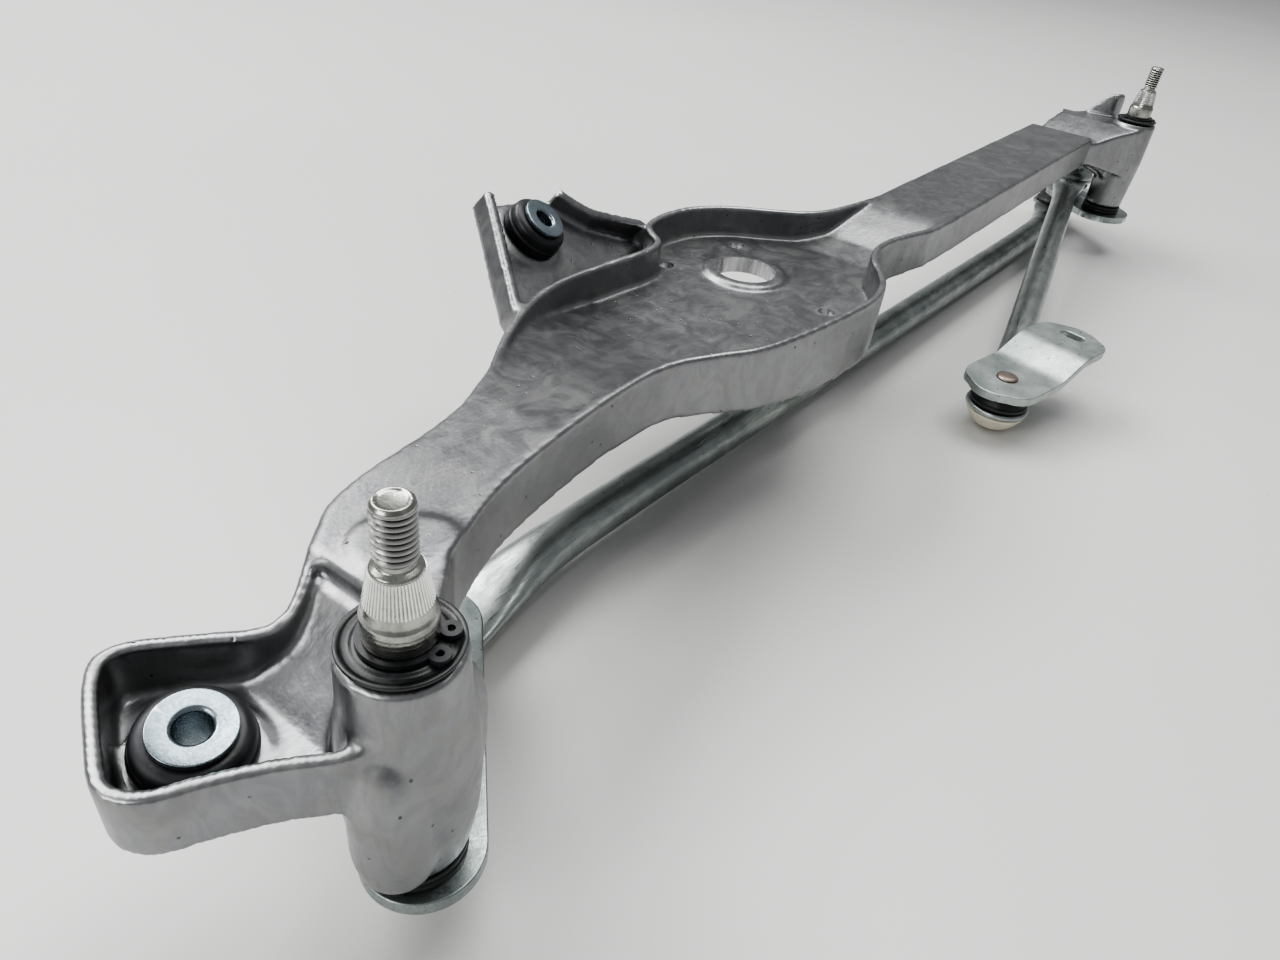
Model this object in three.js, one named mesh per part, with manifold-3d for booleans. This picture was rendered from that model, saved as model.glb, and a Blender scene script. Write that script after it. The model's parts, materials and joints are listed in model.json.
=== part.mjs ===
// Windshield wiper linkage: a die-cast frame with two wiper spindles, their levers,
// the long connecting rod, the drive rod and the loose motor crank.
// Millimetres, +Z up along the spindles, +X from the near spindle to the far one.
// The origin is the centre of the near spindle's end face.
import * as THREE from "three";
import { mergeVertices } from "three/addons/utils/BufferGeometryUtils.js";
import Module from "manifold-3d";

const wasm = await Module();
wasm.setup();

// ---------- driving dimensions; heights are counted from the seat on top of the spindle barrels ----------
const GAP = 0.3; // clearance between touching pieces
const ROUND = 16; // sides of a small turned piece
const FINE = 24; // sides of a larger one
const HOLE_SIDES = 14;
const ARC = 9; // steps round a lever's end
const SPINDLE_SPACING = 630.5;
const STICKOUT = 33; // spindle end face above the barrel seat
const TALL = 200; // longer than any height or depth here, for cutting right through

const WALL = 3; // casting wall
const WEB = 3.2; // casting floor plate
const RIM = -8; // top edge of the frame
const TRAY_RIM = -15; // top edge of the near tray
const PAN = -21.5; // motor pan floor, top face
const TRAY_FLOOR = -28; // near tray floor, top face
const FAR_TRAY_RIM = -15;
const FAR_TRAY_FLOOR = -24;

const BARREL_BORE = 8.4;
const BARREL_TOP = -0.5;
const NEAR_BARREL_END = -60;
const FAR_BARREL_END = -55;
const BUSH_LENGTH = 18;
const SHAFT_R = 6;
const BUSH_BORE = 6.15; // its flats clear the shaft's corners as it turns
const SEAL_H = 4.4; // room for the seal between barrel and lever
const LEVER_T = 4;

const BALL_R = 6.5;
const BALL_Z = -75.5;
const NEAR_BALL = new THREE.Vector2(48, 48);
const FAR_BALL = new THREE.Vector2(40.9, 36.8); // from the far spindle's axis
const DRIVE_BALL = new THREE.Vector2(24.5, 30); // from the far spindle's axis
const DRIVE_BALL_Z = -50.6;
const OPEN_PIVOT_PLAY = 2.9; // radial room where the closed linkage is opened
const CRANK_BALL = new THREE.Vector3(325, -31, BALL_Z);
const CRANK_ANGLE = THREE.MathUtils.degToRad(-13);
const CRANK_LEVEL = -61; // top face at the rivet
const CRANK_LIFT = 7; // how much higher the shaft end stands
const ROD_R = 8;
const DRIVE_ROD_R = 7.6;

const MOTOR_HOLE = { x: 243, y: 68.5, r: 12.6, rim: 16.6 };
const SCREW_HOLES = [[224.5, 95.3], [267.3, 87], [237, 27.4]];
const SCREW_R = 3.3;

const EAR_AT = new THREE.Vector3(166, 119.5, -2.5);
const EAR_TURN = THREE.MathUtils.degToRad(15.2);
const EAR_TILT = THREE.MathUtils.degToRad(38.3);
const NEAR_MOUNT = new THREE.Vector3(-28.8, 26.3, TRAY_FLOOR);
const NEAR_MOUNT_LEAN = THREE.MathUtils.degToRad(12);
const FAR_MOUNT = new THREE.Vector3(655, 37, FAR_TRAY_FLOOR);
const GROMMET_R = 11.4;
const GROMMET_HOLE_R = 8.6;
const GROMMET_TOP = 7.6; // rubber standing above its seat
const GROMMET_LOW = 4; // rubber hanging below the floor plate
const SLEEVE_BORE = 3.4;

// ---------- materials ----------
const metal = (color, roughness) => new THREE.MeshStandardMaterial({ color, roughness, metalness: 1 });
const soft = (color, roughness) => new THREE.MeshStandardMaterial({ color, roughness, metalness: 0 });
const castAluminium = metal("#9a9c9e", 0.42);
const zincPlate = metal("#a9b0ae", 0.38);
const brightSteel = metal("#c4c6c4", 0.25);
const copperyRivet = metal("#a48d80", 0.4);
const blackRubber = soft("#16181a", 0.6);
const blackSteel = soft("#1b1d1f", 0.35);
const bronze = metal("#8d6f47", 0.45);
const creamAcetal = soft("#d9d5c3", 0.4);

// ---------- solids ----------
const plan = (points) => points.map(([x, y]) => new THREE.Vector2(x, y));

// A closed three.js geometry as a manifold solid, without the faces that have no area.
function solid(geometry) {
  const source = geometry.index ? geometry.toNonIndexed() : geometry.clone();
  source.deleteAttribute("normal");
  source.deleteAttribute("uv");
  const merged = mergeVertices(source, 1e-4);
  const index = merged.index.array;
  const kept = [];
  for (let i = 0; i < index.length; i += 3) {
    const [a, b, c] = [index[i], index[i + 1], index[i + 2]];
    if (a !== b && b !== c && a !== c) kept.push(a, b, c);
  }
  return new wasm.Manifold(
    new wasm.Mesh({
      numProp: 3,
      vertProperties: new Float32Array(merged.attributes.position.array),
      triVerts: new Uint32Array(kept),
    }),
  );
}

function geometryOf(body) {
  const mesh = body.getMesh();
  const geometry = new THREE.BufferGeometry();
  const positions = new Float32Array(mesh.vertProperties);
  geometry.setAttribute("position", new THREE.BufferAttribute(positions, 3));
  geometry.setIndex(new THREE.BufferAttribute(new Uint32Array(mesh.triVerts), 1));
  geometry.computeVertexNormals();
  return geometry;
}

function piece(name, body, material) {
  const mesh = new THREE.Mesh(geometryOf(body), material);
  mesh.name = name;
  return mesh;
}

// A plan outline, or a list of [x, y] pairs, raised from z0 to z1.
function prism(outline, z0, z1) {
  const shape = outline instanceof THREE.Shape
    ? outline
    : new THREE.Shape(Array.isArray(outline[0]) ? plan(outline) : outline);
  const settings = { depth: z1 - z0, bevelEnabled: false, curveSegments: 6 };
  return solid(new THREE.ExtrudeGeometry(shape, settings).translate(0, 0, z0));
}

// A profile of [x, z] pairs, drawn out along Y.
function slab(profile, y0, y1) {
  const geometry = new THREE.ExtrudeGeometry(new THREE.Shape(plan(profile)), {
    depth: y1 - y0,
    bevelEnabled: false,
  });
  return solid(geometry.rotateX(Math.PI / 2).translate(0, y1, 0));
}

// A profile of [radius, height] pairs turned about an axis along Z.
function turned(profile, segments = ROUND, x = 0, y = 0) {
  return solid(new THREE.LatheGeometry(plan(profile), segments).rotateX(Math.PI / 2).translate(x, y, 0));
}

const disc = (r, z0, z1, x = 0, y = 0, segments = ROUND) =>
  turned([[0, z0], [r, z0], [r, z1], [0, z1]], segments, x, y);

const ring = (inner, outer, z0, z1, segments = ROUND) =>
  turned([[inner, z0], [outer, z0], [outer, z1], [inner, z1], [inner, z0]], segments);

const union = (bodies) => bodies.reduce((joined, body) => joined.add(body));
const without = (body, cuts) => cuts.reduce((left, cut) => left.subtract(cut), body);

const moved = (body, matrix) => solid(geometryOf(body).applyMatrix4(matrix));

// A place tilted about X and then turned about Z.
function placement(x, y, z, turn = 0, tilt = 0) {
  const place = new THREE.Object3D();
  place.rotation.order = "ZXY";
  place.position.set(x, y, z);
  place.rotation.set(tilt, 0, turn);
  place.updateMatrix();
  return place.matrix;
}

// A smooth plan curve through the given points.
const smooth = (points, steps, closed = false) =>
  new THREE.CatmullRomCurve3(points.map(([x, y]) => new THREE.Vector3(x, y, 0)), closed, "centripetal")
    .getPoints(steps)
    .slice(0, closed ? -1 : undefined)
    .map((p) => new THREE.Vector2(p.x, p.y));

// A clockwise outline moved inwards by a distance.
function inset(outline, distance) {
  const count = outline.length;
  const normal = (a, b) => new THREE.Vector2(b.y - a.y, a.x - b.x).normalize();
  return outline.map((point, i) => {
    const before = normal(outline[(i + count - 1) % count], point);
    const after = normal(point, outline[(i + 1) % count]);
    const step = before.clone().add(after).multiplyScalar(distance / (1 + before.dot(after)));
    return point.clone().add(step);
  });
}

// The wall that follows an outline, cut to a side profile between two Y limits.
const wallRing = (outline, profile, y0 = -TALL, y1 = 2 * TALL) =>
  prism(outline, -TALL, TALL)
    .intersect(slab(profile, y0, y1))
    .subtract(prism(inset(outline, WALL), -TALL - 1, TALL + 1));

// A floor plate with the same plan outline, its top face following a side profile.
function floorPlate(outline, top) {
  const profile = [...top, ...top.map(([x, z]) => [x, z - WEB]).reverse()];
  return prism(outline, -TALL, TALL).intersect(slab(profile, -TALL, 2 * TALL));
}

// ---------- frame casting ----------
// Near tray, motor pan and far arm are one channel; the outline runs clockwise from the tray.
function channelOutline() {
  const tray = smooth(
    [[-44.6, 15.5], [-47, 22], [-43.3, 33.5], [-36, 47.5], [-32, 51.5], [-27, 51.3], [-14.5, 42]],
    13,
  );
  const trayBack = smooth(
    [[-9, 37], [-4, 34.6], [1, 35.8], [15, 45.5], [22, 50.5], [34.3, 54.2], [60, 57.5], [74, 60.5]],
    15,
  );
  const panBack = smooth(
    [[93, 69], [115, 82.7], [138.7, 93.2], [157.7, 96.6], [185, 95], [205, 93.4], [214, 95.5],
      [219.5, 102.5], [226, 108.6], [240, 111.4], [256, 109.5], [268, 103.5], [277.5, 95.5],
      [287.5, 83.5], [298.2, 72.6], [308, 67.3], [325, 63.4], [347.6, 59.9]],
    36,
  );
  const armEnd = plan([[588, 54.4], [588, 14.4]]);
  const panFront = smooth(
    [[347.6, 20.1], [328, 21.5], [313, 25.5], [299, 28.6], [284, 28.6], [272, 24.5], [261, 16.8],
      [250, 11.2], [237, 8.4], [222, 8.8], [186.2, 13.4], [166, 18.3], [152, 25.5], [138.7, 31.6],
      [126, 33.8], [91.2, 32.4], [53.2, 26.7], [30, 18]],
    36,
  );
  const trayFront = smooth([[12, 4], [0, -6], [-14, -4], [-26, 5], [-39, 13.5]], 7);
  return [...tray, ...trayBack, ...panBack, ...armEnd, ...panFront, ...trayFront];
}

function channel(outline) {
  const walls = [
    [-70, TRAY_RIM], [-5, TRAY_RIM], [14, RIM], [600, RIM], [600, -25.5], [335, -25.5], [300, -28],
    [270, -33], [248, -34.5], [217, -35.5], [192, -34.5], [163, -31.5], [140, -29.5], [100, -28.5],
    [50, -28.5], [18, -29], [-5, -31.5], [-70, -31.5],
  ];
  const floor = [
    [-70, TRAY_FLOOR], [-13, TRAY_FLOOR], [-2, -21], [7, -12.5], [9.5, -12.5], [10.2, RIM], [82, RIM],
    [105, -9.6], [130, -14], [152, -19], [175, PAN], [292, PAN], [308, -19], [325, -13], [338, -9.3],
    [352, RIM], [600, RIM],
  ];
  return wallRing(outline, walls).add(floorPlate(outline, floor));
}

// The pad cast a little proud of the near arm behind the spindle.
function nearPad() {
  const outline = smooth(
    [[13, 21.5], [15, 34.5], [21, 38.5], [29, 36.5], [35, 29.5], [36, 22.5], [31, 19.5], [19, 18.5]],
    16,
    true,
  );
  return prism(outline, RIM - 1, RIM + 0.7);
}

// The near barrel swells in the middle and carries two cast lobes.
function nearBarrel() {
  const body = turned(
    [[0, NEAR_BARREL_END], [11.6, NEAR_BARREL_END], [12.6, -56], [14.2, -46], [14.8, -34], [14.2, -22],
      [12.8, -12], [12.4, -1.2], [12, BARREL_TOP], [0, BARREL_TOP]],
    FINE,
  );
  const frontLobe = [[0, -54], [4.5, -53], [7.6, -50], [8.8, -45], [8.8, -28], [6, -18], [0, -14]];
  const sideLobe = [[0, -52], [4, -48], [6, -34], [6, -20], [3, -12], [0, -10]];
  return union([body, turned(frontLobe, ROUND, -8.4, -4.6), turned(sideLobe, ROUND, 10.6, -3.2)]);
}

const farBarrel = () =>
  turned(
    [[0, FAR_BARREL_END], [11.4, FAR_BARREL_END], [12.2, -40], [13, -25], [12.6, -1], [12.2, BARREL_TOP],
      [0, BARREL_TOP]],
    FINE,
    SPINDLE_SPACING,
  );

// The sloping neck between the far arm and the far barrel.
function farNeck() {
  const outline = plan([[586, 50.5], [604, 49], [622, 45], [640, 36], [643, 14], [641, -6], [631, -11.5],
    [620, -8], [604, 4], [586, 15.8]]);
  const top = [[580, -11.5], [590, -11.5], [618, -3], [660, -3]];
  const walls = [...top, [660, -33], [618, -33], [592, -25.5], [580, -25.5]];
  return wallRing(outline, walls).add(floorPlate(outline, top));
}

// The tray beside the far barrel that holds the third mounting grommet; its front wall rises in a hump.
function farTray() {
  const outline = smooth(
    [[638, 24], [638, 44], [645, 53], [655, 56], [668, 51], [673, 38], [669, 24], [660, 17], [650, 14.5],
      [641, 17]],
    24,
    true,
  );
  const humpEnd = 25;
  const rim = [[630, FAR_TRAY_RIM], [680, FAR_TRAY_RIM], [680, -30], [630, -30]];
  const hump = [[630, -2], [634, 7], [638, 10.5], [649, 10.5], [653, 6], [662, -8], [672, FAR_TRAY_RIM],
    [672, -20], [630, -20]];
  const root = prism([[634, 16], [634, 44], [643, 50], [643, 16]], FAR_TRAY_FLOOR - WEB, -5);
  return union([
    wallRing(outline, rim),
    wallRing(outline, hump, 0, humpEnd),
    floorPlate(outline, [[630, FAR_TRAY_FLOOR], [680, FAR_TRAY_FLOOR]]),
    root,
  ]);
}

// A thin curved web under the neck that braces the far barrel.
function gusset({ x, y, turn, length, drop }) {
  const top = -24;
  const edge = 3;
  const thickness = 4;
  const shape = new THREE.Shape();
  shape.moveTo(0, 0);
  shape.lineTo(length, 0);
  shape.lineTo(length, -drop);
  shape.quadraticCurveTo(length * 0.75, -drop * 0.25, 0, -edge);
  const settings = { depth: thickness, bevelEnabled: false, curveSegments: 5 };
  const geometry = new THREE.ExtrudeGeometry(shape, settings);
  geometry.rotateX(Math.PI / 2).translate(0, thickness / 2, 0);
  return solid(geometry.applyMatrix4(placement(x, y, top, THREE.MathUtils.degToRad(turn))));
}

// The ear on the back of the pan: a sloping plate between a straight and a curved wall.
function rearEar() {
  const plate = [[-10, 17.5], [22, 9.5], [24.5, 8], [28, 2], [33, -7], [45, -15], [62, -24], [64, -38],
    [-60, -38]];
  const leftWall = [[-6.5, 18], [-10.5, 20], [-61, -36], [-57, -38.5]];
  const rightWall = [[23.5, 6], [27.5, 6.5], [31, 0.5], [36.5, -6.5], [47, -13], [62, -21.5], [66, -30],
    [60, -30], [59, -25], [45, -16.5], [34, -9.5], [28, -2]];
  const ear = union([
    prism(plate, -WEB, 0),
    prism(leftWall, -WEB, 6.5),
    prism(rightWall, -WEB, 8),
    disc(GROMMET_R + 2, -WEB, 1.2),
  ]);
  const kept = prism([[126, 60], [126, 175], [260, 175], [260, 60]], -35, 40);
  return moved(ear, placement(EAR_AT.x, EAR_AT.y, EAR_AT.z, EAR_TURN, EAR_TILT)).intersect(kept);
}

// Each mounting point: its place on the casting's floor, and the height of the seat round its hole.
const MOUNTS = [
  {
    label: "near",
    place: placement(NEAR_MOUNT.x, NEAR_MOUNT.y, NEAR_MOUNT.z, 0, NEAR_MOUNT_LEAN),
    seat: 2.6,
  },
  { label: "rear", place: placement(EAR_AT.x, EAR_AT.y, EAR_AT.z, EAR_TURN, EAR_TILT), seat: 1.2 },
  { label: "far", place: placement(FAR_MOUNT.x, FAR_MOUNT.y, FAR_MOUNT.z), seat: 0 },
];

// The hole for a grommet, with room above the seat and below the floor plate.
function grommetRoom({ place, seat }) {
  const flangeRoom = GROMMET_R + 0.6;
  const reach = 16;
  return moved(
    union([disc(GROMMET_HOLE_R, -reach, reach), disc(flangeRoom, seat, 12), disc(flangeRoom, -14, -WEB)]),
    place,
  );
}

function frame() {
  const outline = channelOutline();
  const nearSeat = disc(GROMMET_R + 1.6, -WEB, MOUNTS[0].seat);
  const motorRim = disc(MOTOR_HOLE.rim, PAN - WEB - 1.5, PAN + 1.6, MOTOR_HOLE.x, MOTOR_HOLE.y, FINE);
  const cast = union([
    channel(outline),
    rearEar().subtract(prism(inset(outline, WALL - 0.4), -TALL, TALL)),
    nearPad(),
    moved(nearSeat, MOUNTS[0].place),
    motorRim,
    nearBarrel(),
    farNeck(),
    farTray(),
    farBarrel(),
    gusset({ x: 594, y: 17, turn: -24, length: 38, drop: 24 }),
    gusset({ x: 596, y: 40, turn: -48, length: 50, drop: 22 }),
  ]);
  const holes = [
    ...[0, SPINDLE_SPACING].map((x) => disc(BARREL_BORE, -TALL, TALL, x, 0, FINE)),
    disc(MOTOR_HOLE.r, -TALL, TALL, MOTOR_HOLE.x, MOTOR_HOLE.y, FINE),
    ...SCREW_HOLES.map(([x, y]) => disc(SCREW_R, -TALL, TALL, x, y, HOLE_SIDES)),
    ...MOUNTS.map(grommetRoom),
  ];
  return piece("frame", without(cast, holes), castAluminium);
}

// ---------- mounting grommets ----------
// The rubber fills the hole in the casting with a groove, and bulges above and below it.
function grommet(name, seat) {
  const bore = 5.4;
  const waist = GROMMET_HOLE_R - GAP;
  const low = -WEB - GAP;
  const top = seat + GAP;
  const profile = [
    [bore, low - GROMMET_LOW], [9.4, low - GROMMET_LOW], [10.4, low - 2.5], [10.4, low], [waist, low],
    [waist, top], [GROMMET_R, top], [GROMMET_R, top + 4], [10.6, top + 6.5], [9, top + GROMMET_TOP],
    [bore, top + GROMMET_TOP], [bore, low - GROMMET_LOW],
  ];
  return piece(name, turned(profile), blackRubber);
}

// The flanged steel sleeve that the mounting screw goes through.
function sleeve(name, seat) {
  const outer = 5.1;
  const flange = 8;
  const flangeT = 1.6;
  const top = seat + GAP + GROMMET_TOP + GAP;
  const low = -WEB - GAP - GROMMET_LOW;
  const profile = [
    [SLEEVE_BORE, low], [outer, low], [outer, top], [flange, top], [flange, top + flangeT],
    [SLEEVE_BORE, top + flangeT], [SLEEVE_BORE, low],
  ];
  return piece(name, turned(profile), zincPlate);
}

function mountSet({ label, place, seat }) {
  const group = new THREE.Group();
  group.add(grommet(label + "_grommet", seat), sleeve(label + "_sleeve", seat));
  group.applyMatrix4(place);
  return group;
}

// ---------- spindles and what sits in the barrels ----------
// From the peened end under the lever, up the shaft, over the taper to the threaded end.
function spindle(name, barrelEnd) {
  const neck = 5; // where the lever is pressed on
  const plateTop = barrelEnd - SEAL_H;
  const plateLow = plateTop - LEVER_T;
  const peen = [[0, plateLow - 1.6], [6.6, plateLow - 1.6], [7, plateLow - GAP], [neck, plateLow - GAP],
    [neck, plateTop + GAP]];
  const shaft = [[SHAFT_R, plateTop + GAP], [SHAFT_R, 1.6], [5.5, 1.6], [5.5, 2.9]];
  const taper = [[7, 2.9], [7.1, 8.5], [6.5, 8.5], [4.6, 19], [3.4, 19.6], [3.4, 20.4]];
  const thread = [[4, 21], [4, STICKOUT - 0.8], [3.3, STICKOUT], [0, STICKOUT]];
  return piece(name, turned([...peen, ...shaft, ...taper, ...thread]), brightSteel);
}

// An external circlip: an open ring with two eyes beside the gap.
function circlip(name) {
  const [z0, z1] = [1.75, 2.75];
  const gapDirection = THREE.MathUtils.degToRad(-62);
  const eyeSpread = THREE.MathUtils.degToRad(21);
  const eyes = [-1, 1].map((side) => {
    const angle = gapDirection + side * eyeSpread;
    return new THREE.Vector2(8.8 * Math.cos(angle), 8.8 * Math.sin(angle));
  });
  const centre = new THREE.Vector2();
  const gap = plan([[0, 0], [14, -3.2], [14, 3.2]]).map((p) => p.rotateAround(centre, gapDirection));
  const lugs = eyes.map(({ x, y }) => disc(2.1, z0, z1, x, y, HOLE_SIDES));
  const holes = eyes.map(({ x, y }) => disc(0.85, z0 - 1, z1 + 1, x, y, 10));
  const blank = union([ring(5.8, 8.2, z0, z1, FINE), ...lugs]);
  const body = without(blank, [prism(gap, z0 - 1, z1 + 1), ...holes]);
  return piece(name, body, blackSteel);
}

function barrelSet(label, barrelEnd) {
  const bushR = BARREL_BORE - GAP;
  const sealBore = SHAFT_R + GAP;
  const upperBushTop = -3.5;
  const lowerBushLow = barrelEnd + 0.4;
  const lowerSeal = ring(sealBore, 11.8, barrelEnd - SEAL_H + GAP, barrelEnd - GAP);
  const group = new THREE.Group();
  group.add(
    spindle(label + "_spindle", barrelEnd),
    piece(label + "_top_washer", ring(6.4, 12, 0.35, 1.45, FINE), blackSteel),
    circlip(label + "_circlip"),
    piece(label + "_top_seal", ring(sealBore, bushR, upperBushTop + GAP, 0.05), blackRubber),
    piece(label + "_upper_bush", ring(BUSH_BORE, bushR, upperBushTop - BUSH_LENGTH, upperBushTop), bronze),
    piece(label + "_lower_bush", ring(BUSH_BORE, bushR, lowerBushLow, lowerBushLow + BUSH_LENGTH), bronze),
    piece(label + "_lower_seal", lowerSeal, blackRubber),
  );
  return group;
}

// ---------- levers ----------
// The outline round two discs and the tangents between them.
function strap([ax, ay, ar], [bx, by, br], z0, z1) {
  const heading = Math.atan2(by - ay, bx - ax);
  const lean = Math.acos((ar - br) / Math.hypot(bx - ax, by - ay));
  const arc = (x, y, r, from, to) =>
    Array.from({ length: ARC + 1 }, (_, i) => {
      const angle = from + ((to - from) * i) / ARC;
      return [x + r * Math.cos(angle), y + r * Math.sin(angle)];
    });
  const outline = [
    ...arc(bx, by, br, heading - lean, heading + lean),
    ...arc(ax, ay, ar, heading + lean, heading + 2 * Math.PI - lean),
  ];
  return prism(outline, z0, z1);
}

// A flat lever: round lobes [x, y, r] joined to the first one by straight sides, and round holes [x, y, r].
function lever(name, [hub, ...lobes], top, holes) {
  const low = top - LEVER_T;
  const plate = union(lobes.map((lobe) => strap(hub, lobe, low, top)));
  const cuts = holes.map(([x, y, r]) => disc(r, low - 1, top + 1, x, y));
  return piece(name, without(plate, cuts), zincPlate);
}

// ---------- ball joints, drawn hanging below a plate whose underside is z = 0 ----------
// reach is how far the ball's centre lies below the plate.
const RIVET_R = 4;
const CUP_DEPTH = 9; // from the ball's centre to the cup's closed end
const CUP_WAIST = 10;
const EYE_T = 4; // thickness of the rod eye that grips the cup

function ballStud(name, reach, material) {
  const steps = 5;
  const shoulder = 0.93; // angle above the ball's equator where its neck starts
  const profile = [[0, -reach - BALL_R]];
  for (let i = 1; i <= steps; i += 1) {
    const angle = -Math.PI / 2 + (i / steps) * (Math.PI / 2 + shoulder);
    profile.push([BALL_R * Math.cos(angle), -reach + BALL_R * Math.sin(angle)]);
  }
  profile.push(
    [3.7, -1.5], [5.5, -1.5], [5.5, -GAP], [RIVET_R, -GAP], [RIVET_R, LEVER_T + GAP],
    [4.9, LEVER_T + GAP], [4.2, LEVER_T + 1.3], [0, LEVER_T + 1.5],
  );
  return piece(name, turned(profile), material);
}

// The plastic cup, open upwards, with a groove for the rod eye round its waist.
function ballCup(name, reach, play) {
  const cavity = BALL_R + GAP + play;
  const waist = CUP_WAIST + 0.7 * play;
  const skirt = 13.2 + 0.4 * play;
  const half = EYE_T / 2;
  const z = -reach;
  const profile = [
    [0, z - CUP_DEPTH], [7.5, z - CUP_DEPTH], [10, z - CUP_DEPTH + 1], [12, z - 6], [skirt, z - 3.8],
    [skirt, z - half - GAP], [waist, z - half - GAP], [waist, z + half],
  ];
  const steps = 5;
  const mouth = Math.asin(half / cavity);
  for (let i = 0; i < steps; i += 1) {
    const angle = mouth - ((mouth + Math.PI / 2) * i) / steps;
    profile.push([cavity * Math.cos(angle), z + Math.max(cavity * Math.sin(angle), -BALL_R - GAP)]);
  }
  profile.push([0, z - BALL_R - GAP]);
  return piece(name, turned(profile), creamAcetal);
}

// The rubber boot between the rod eye and the plate above it.
function boot(name, reach, play) {
  const low = -reach + EYE_T / 2 + GAP;
  const inner = 6.2 + play;
  const outer = 13 + 0.4 * play;
  const wall = 2.4;
  const profile = [
    [outer - wall, low], [outer, low], [outer, low + 1.6], [outer - 2, low + (reach - 3) * 0.6],
    [inner + 2, -0.7], [inner, -0.7], [inner, -2.2], [outer - wall, low + 1.4], [outer - wall, low],
  ];
  return piece(name, turned(profile), blackRubber);
}

// A joint's three pieces in a group whose origin is the plate face; up turns it over.
function ballJoint([stud, cup, shroud], { x, y, z, reach, up = false, play = 0, material = zincPlate }) {
  const group = new THREE.Group();
  group.add(ballStud(stud, reach, material), ballCup(cup, reach, play), boot(shroud, reach, play));
  group.position.set(x, y, z);
  if (up) group.rotation.x = Math.PI;
  return group;
}

// ---------- rods ----------
// A steel tube lofted along stations [x, y, z, half width, half height], its sections kept upright.
function loftedTube(stations, sides = 12) {
  const centres = stations.map(([x, y, z]) => new THREE.Vector3(x, y, z));
  const up = new THREE.Vector3(0, 0, 1);
  const positions = [];
  stations.forEach(([, , , halfWidth, halfHeight], i) => {
    const ahead = centres[Math.min(i + 1, centres.length - 1)];
    const tangent = ahead.clone().sub(centres[Math.max(i - 1, 0)]).normalize();
    const side = new THREE.Vector3().crossVectors(tangent, up).normalize();
    const rise = new THREE.Vector3().crossVectors(side, tangent);
    for (let k = 0; k < sides; k += 1) {
      const angle = (2 * Math.PI * (k + 0.5)) / sides;
      const p = centres[i].clone();
      p.addScaledVector(side, halfWidth * Math.cos(angle));
      p.addScaledVector(rise, halfHeight * Math.sin(angle));
      positions.push(p.x, p.y, p.z);
    }
  });
  const geometry = new THREE.BufferGeometry();
  geometry.setAttribute("position", new THREE.Float32BufferAttribute(positions, 3));
  geometry.setIndex(tubeFaces(stations.length, sides));
  return solid(geometry);
}

function tubeFaces(count, sides) {
  const index = [];
  for (let i = 0; i + 1 < count; i += 1)
    for (let k = 0; k < sides; k += 1) {
      const [a, b] = [i * sides + k, i * sides + ((k + 1) % sides)];
      index.push(a, b + sides, b, a, a + sides, b + sides);
    }
  const last = (count - 1) * sides;
  for (let k = 1; k + 1 < sides; k += 1) index.push(0, k, k + 1, last, last + k + 1, last + k);
  return index;
}

// A rod: a tube whose flattened ends become the eyes { x, y, z, play } that hold the ball cups.
function rod(name, stations, eyes) {
  const half = EYE_T / 2;
  const rims = eyes.map(({ x, y, z, play }) => disc(14.2 + 0.6 * play, z - half, z + half, x, y, FINE));
  const holes = eyes.map(({ x, y, z, play }) =>
    disc(CUP_WAIST + 0.7 * play + GAP, z - 14, z + 14, x, y));
  return piece(name, without(union([loftedTube(stations), ...rims]), holes), zincPlate);
}

// The long rod bows gently sideways and is flattened where it passes over each ball.
function longRod() {
  const near = { x: NEAR_BALL.x, y: NEAR_BALL.y, z: BALL_Z, play: 0 };
  const far = { x: SPINDLE_SPACING + FAR_BALL.x, y: FAR_BALL.y, z: BALL_Z, play: OPEN_PIVOT_PLAY };
  const flat = EYE_T / 2;
  const stations = [
    [near.x + 5, near.y + 0.5, BALL_Z, 12, flat], [near.x + 15, 49.8, BALL_Z, 11.8, flat],
    [80, 51.4, -75.2, 10.5, 4.4], [96, 52.1, -74.6, 9, 7], [116, 51.9, -74.4, ROD_R, ROD_R],
    [240, 46.5, -75.4, ROD_R, ROD_R], [400, 39.4, -76.8, ROD_R, ROD_R], [575, 31.8, -78, ROD_R, ROD_R],
    [610, 31.3, -78, ROD_R, ROD_R], [630, 32.2, -77.6, 9, 6.6], [645, 33.8, -76.7, 10.5, 3.8],
    [far.x - 17, far.y - 1.4, BALL_Z, 11.8, flat], [far.x - 5, far.y, BALL_Z, 12, flat],
  ];
  return rod("long_rod", stations, [near, far]);
}

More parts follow.
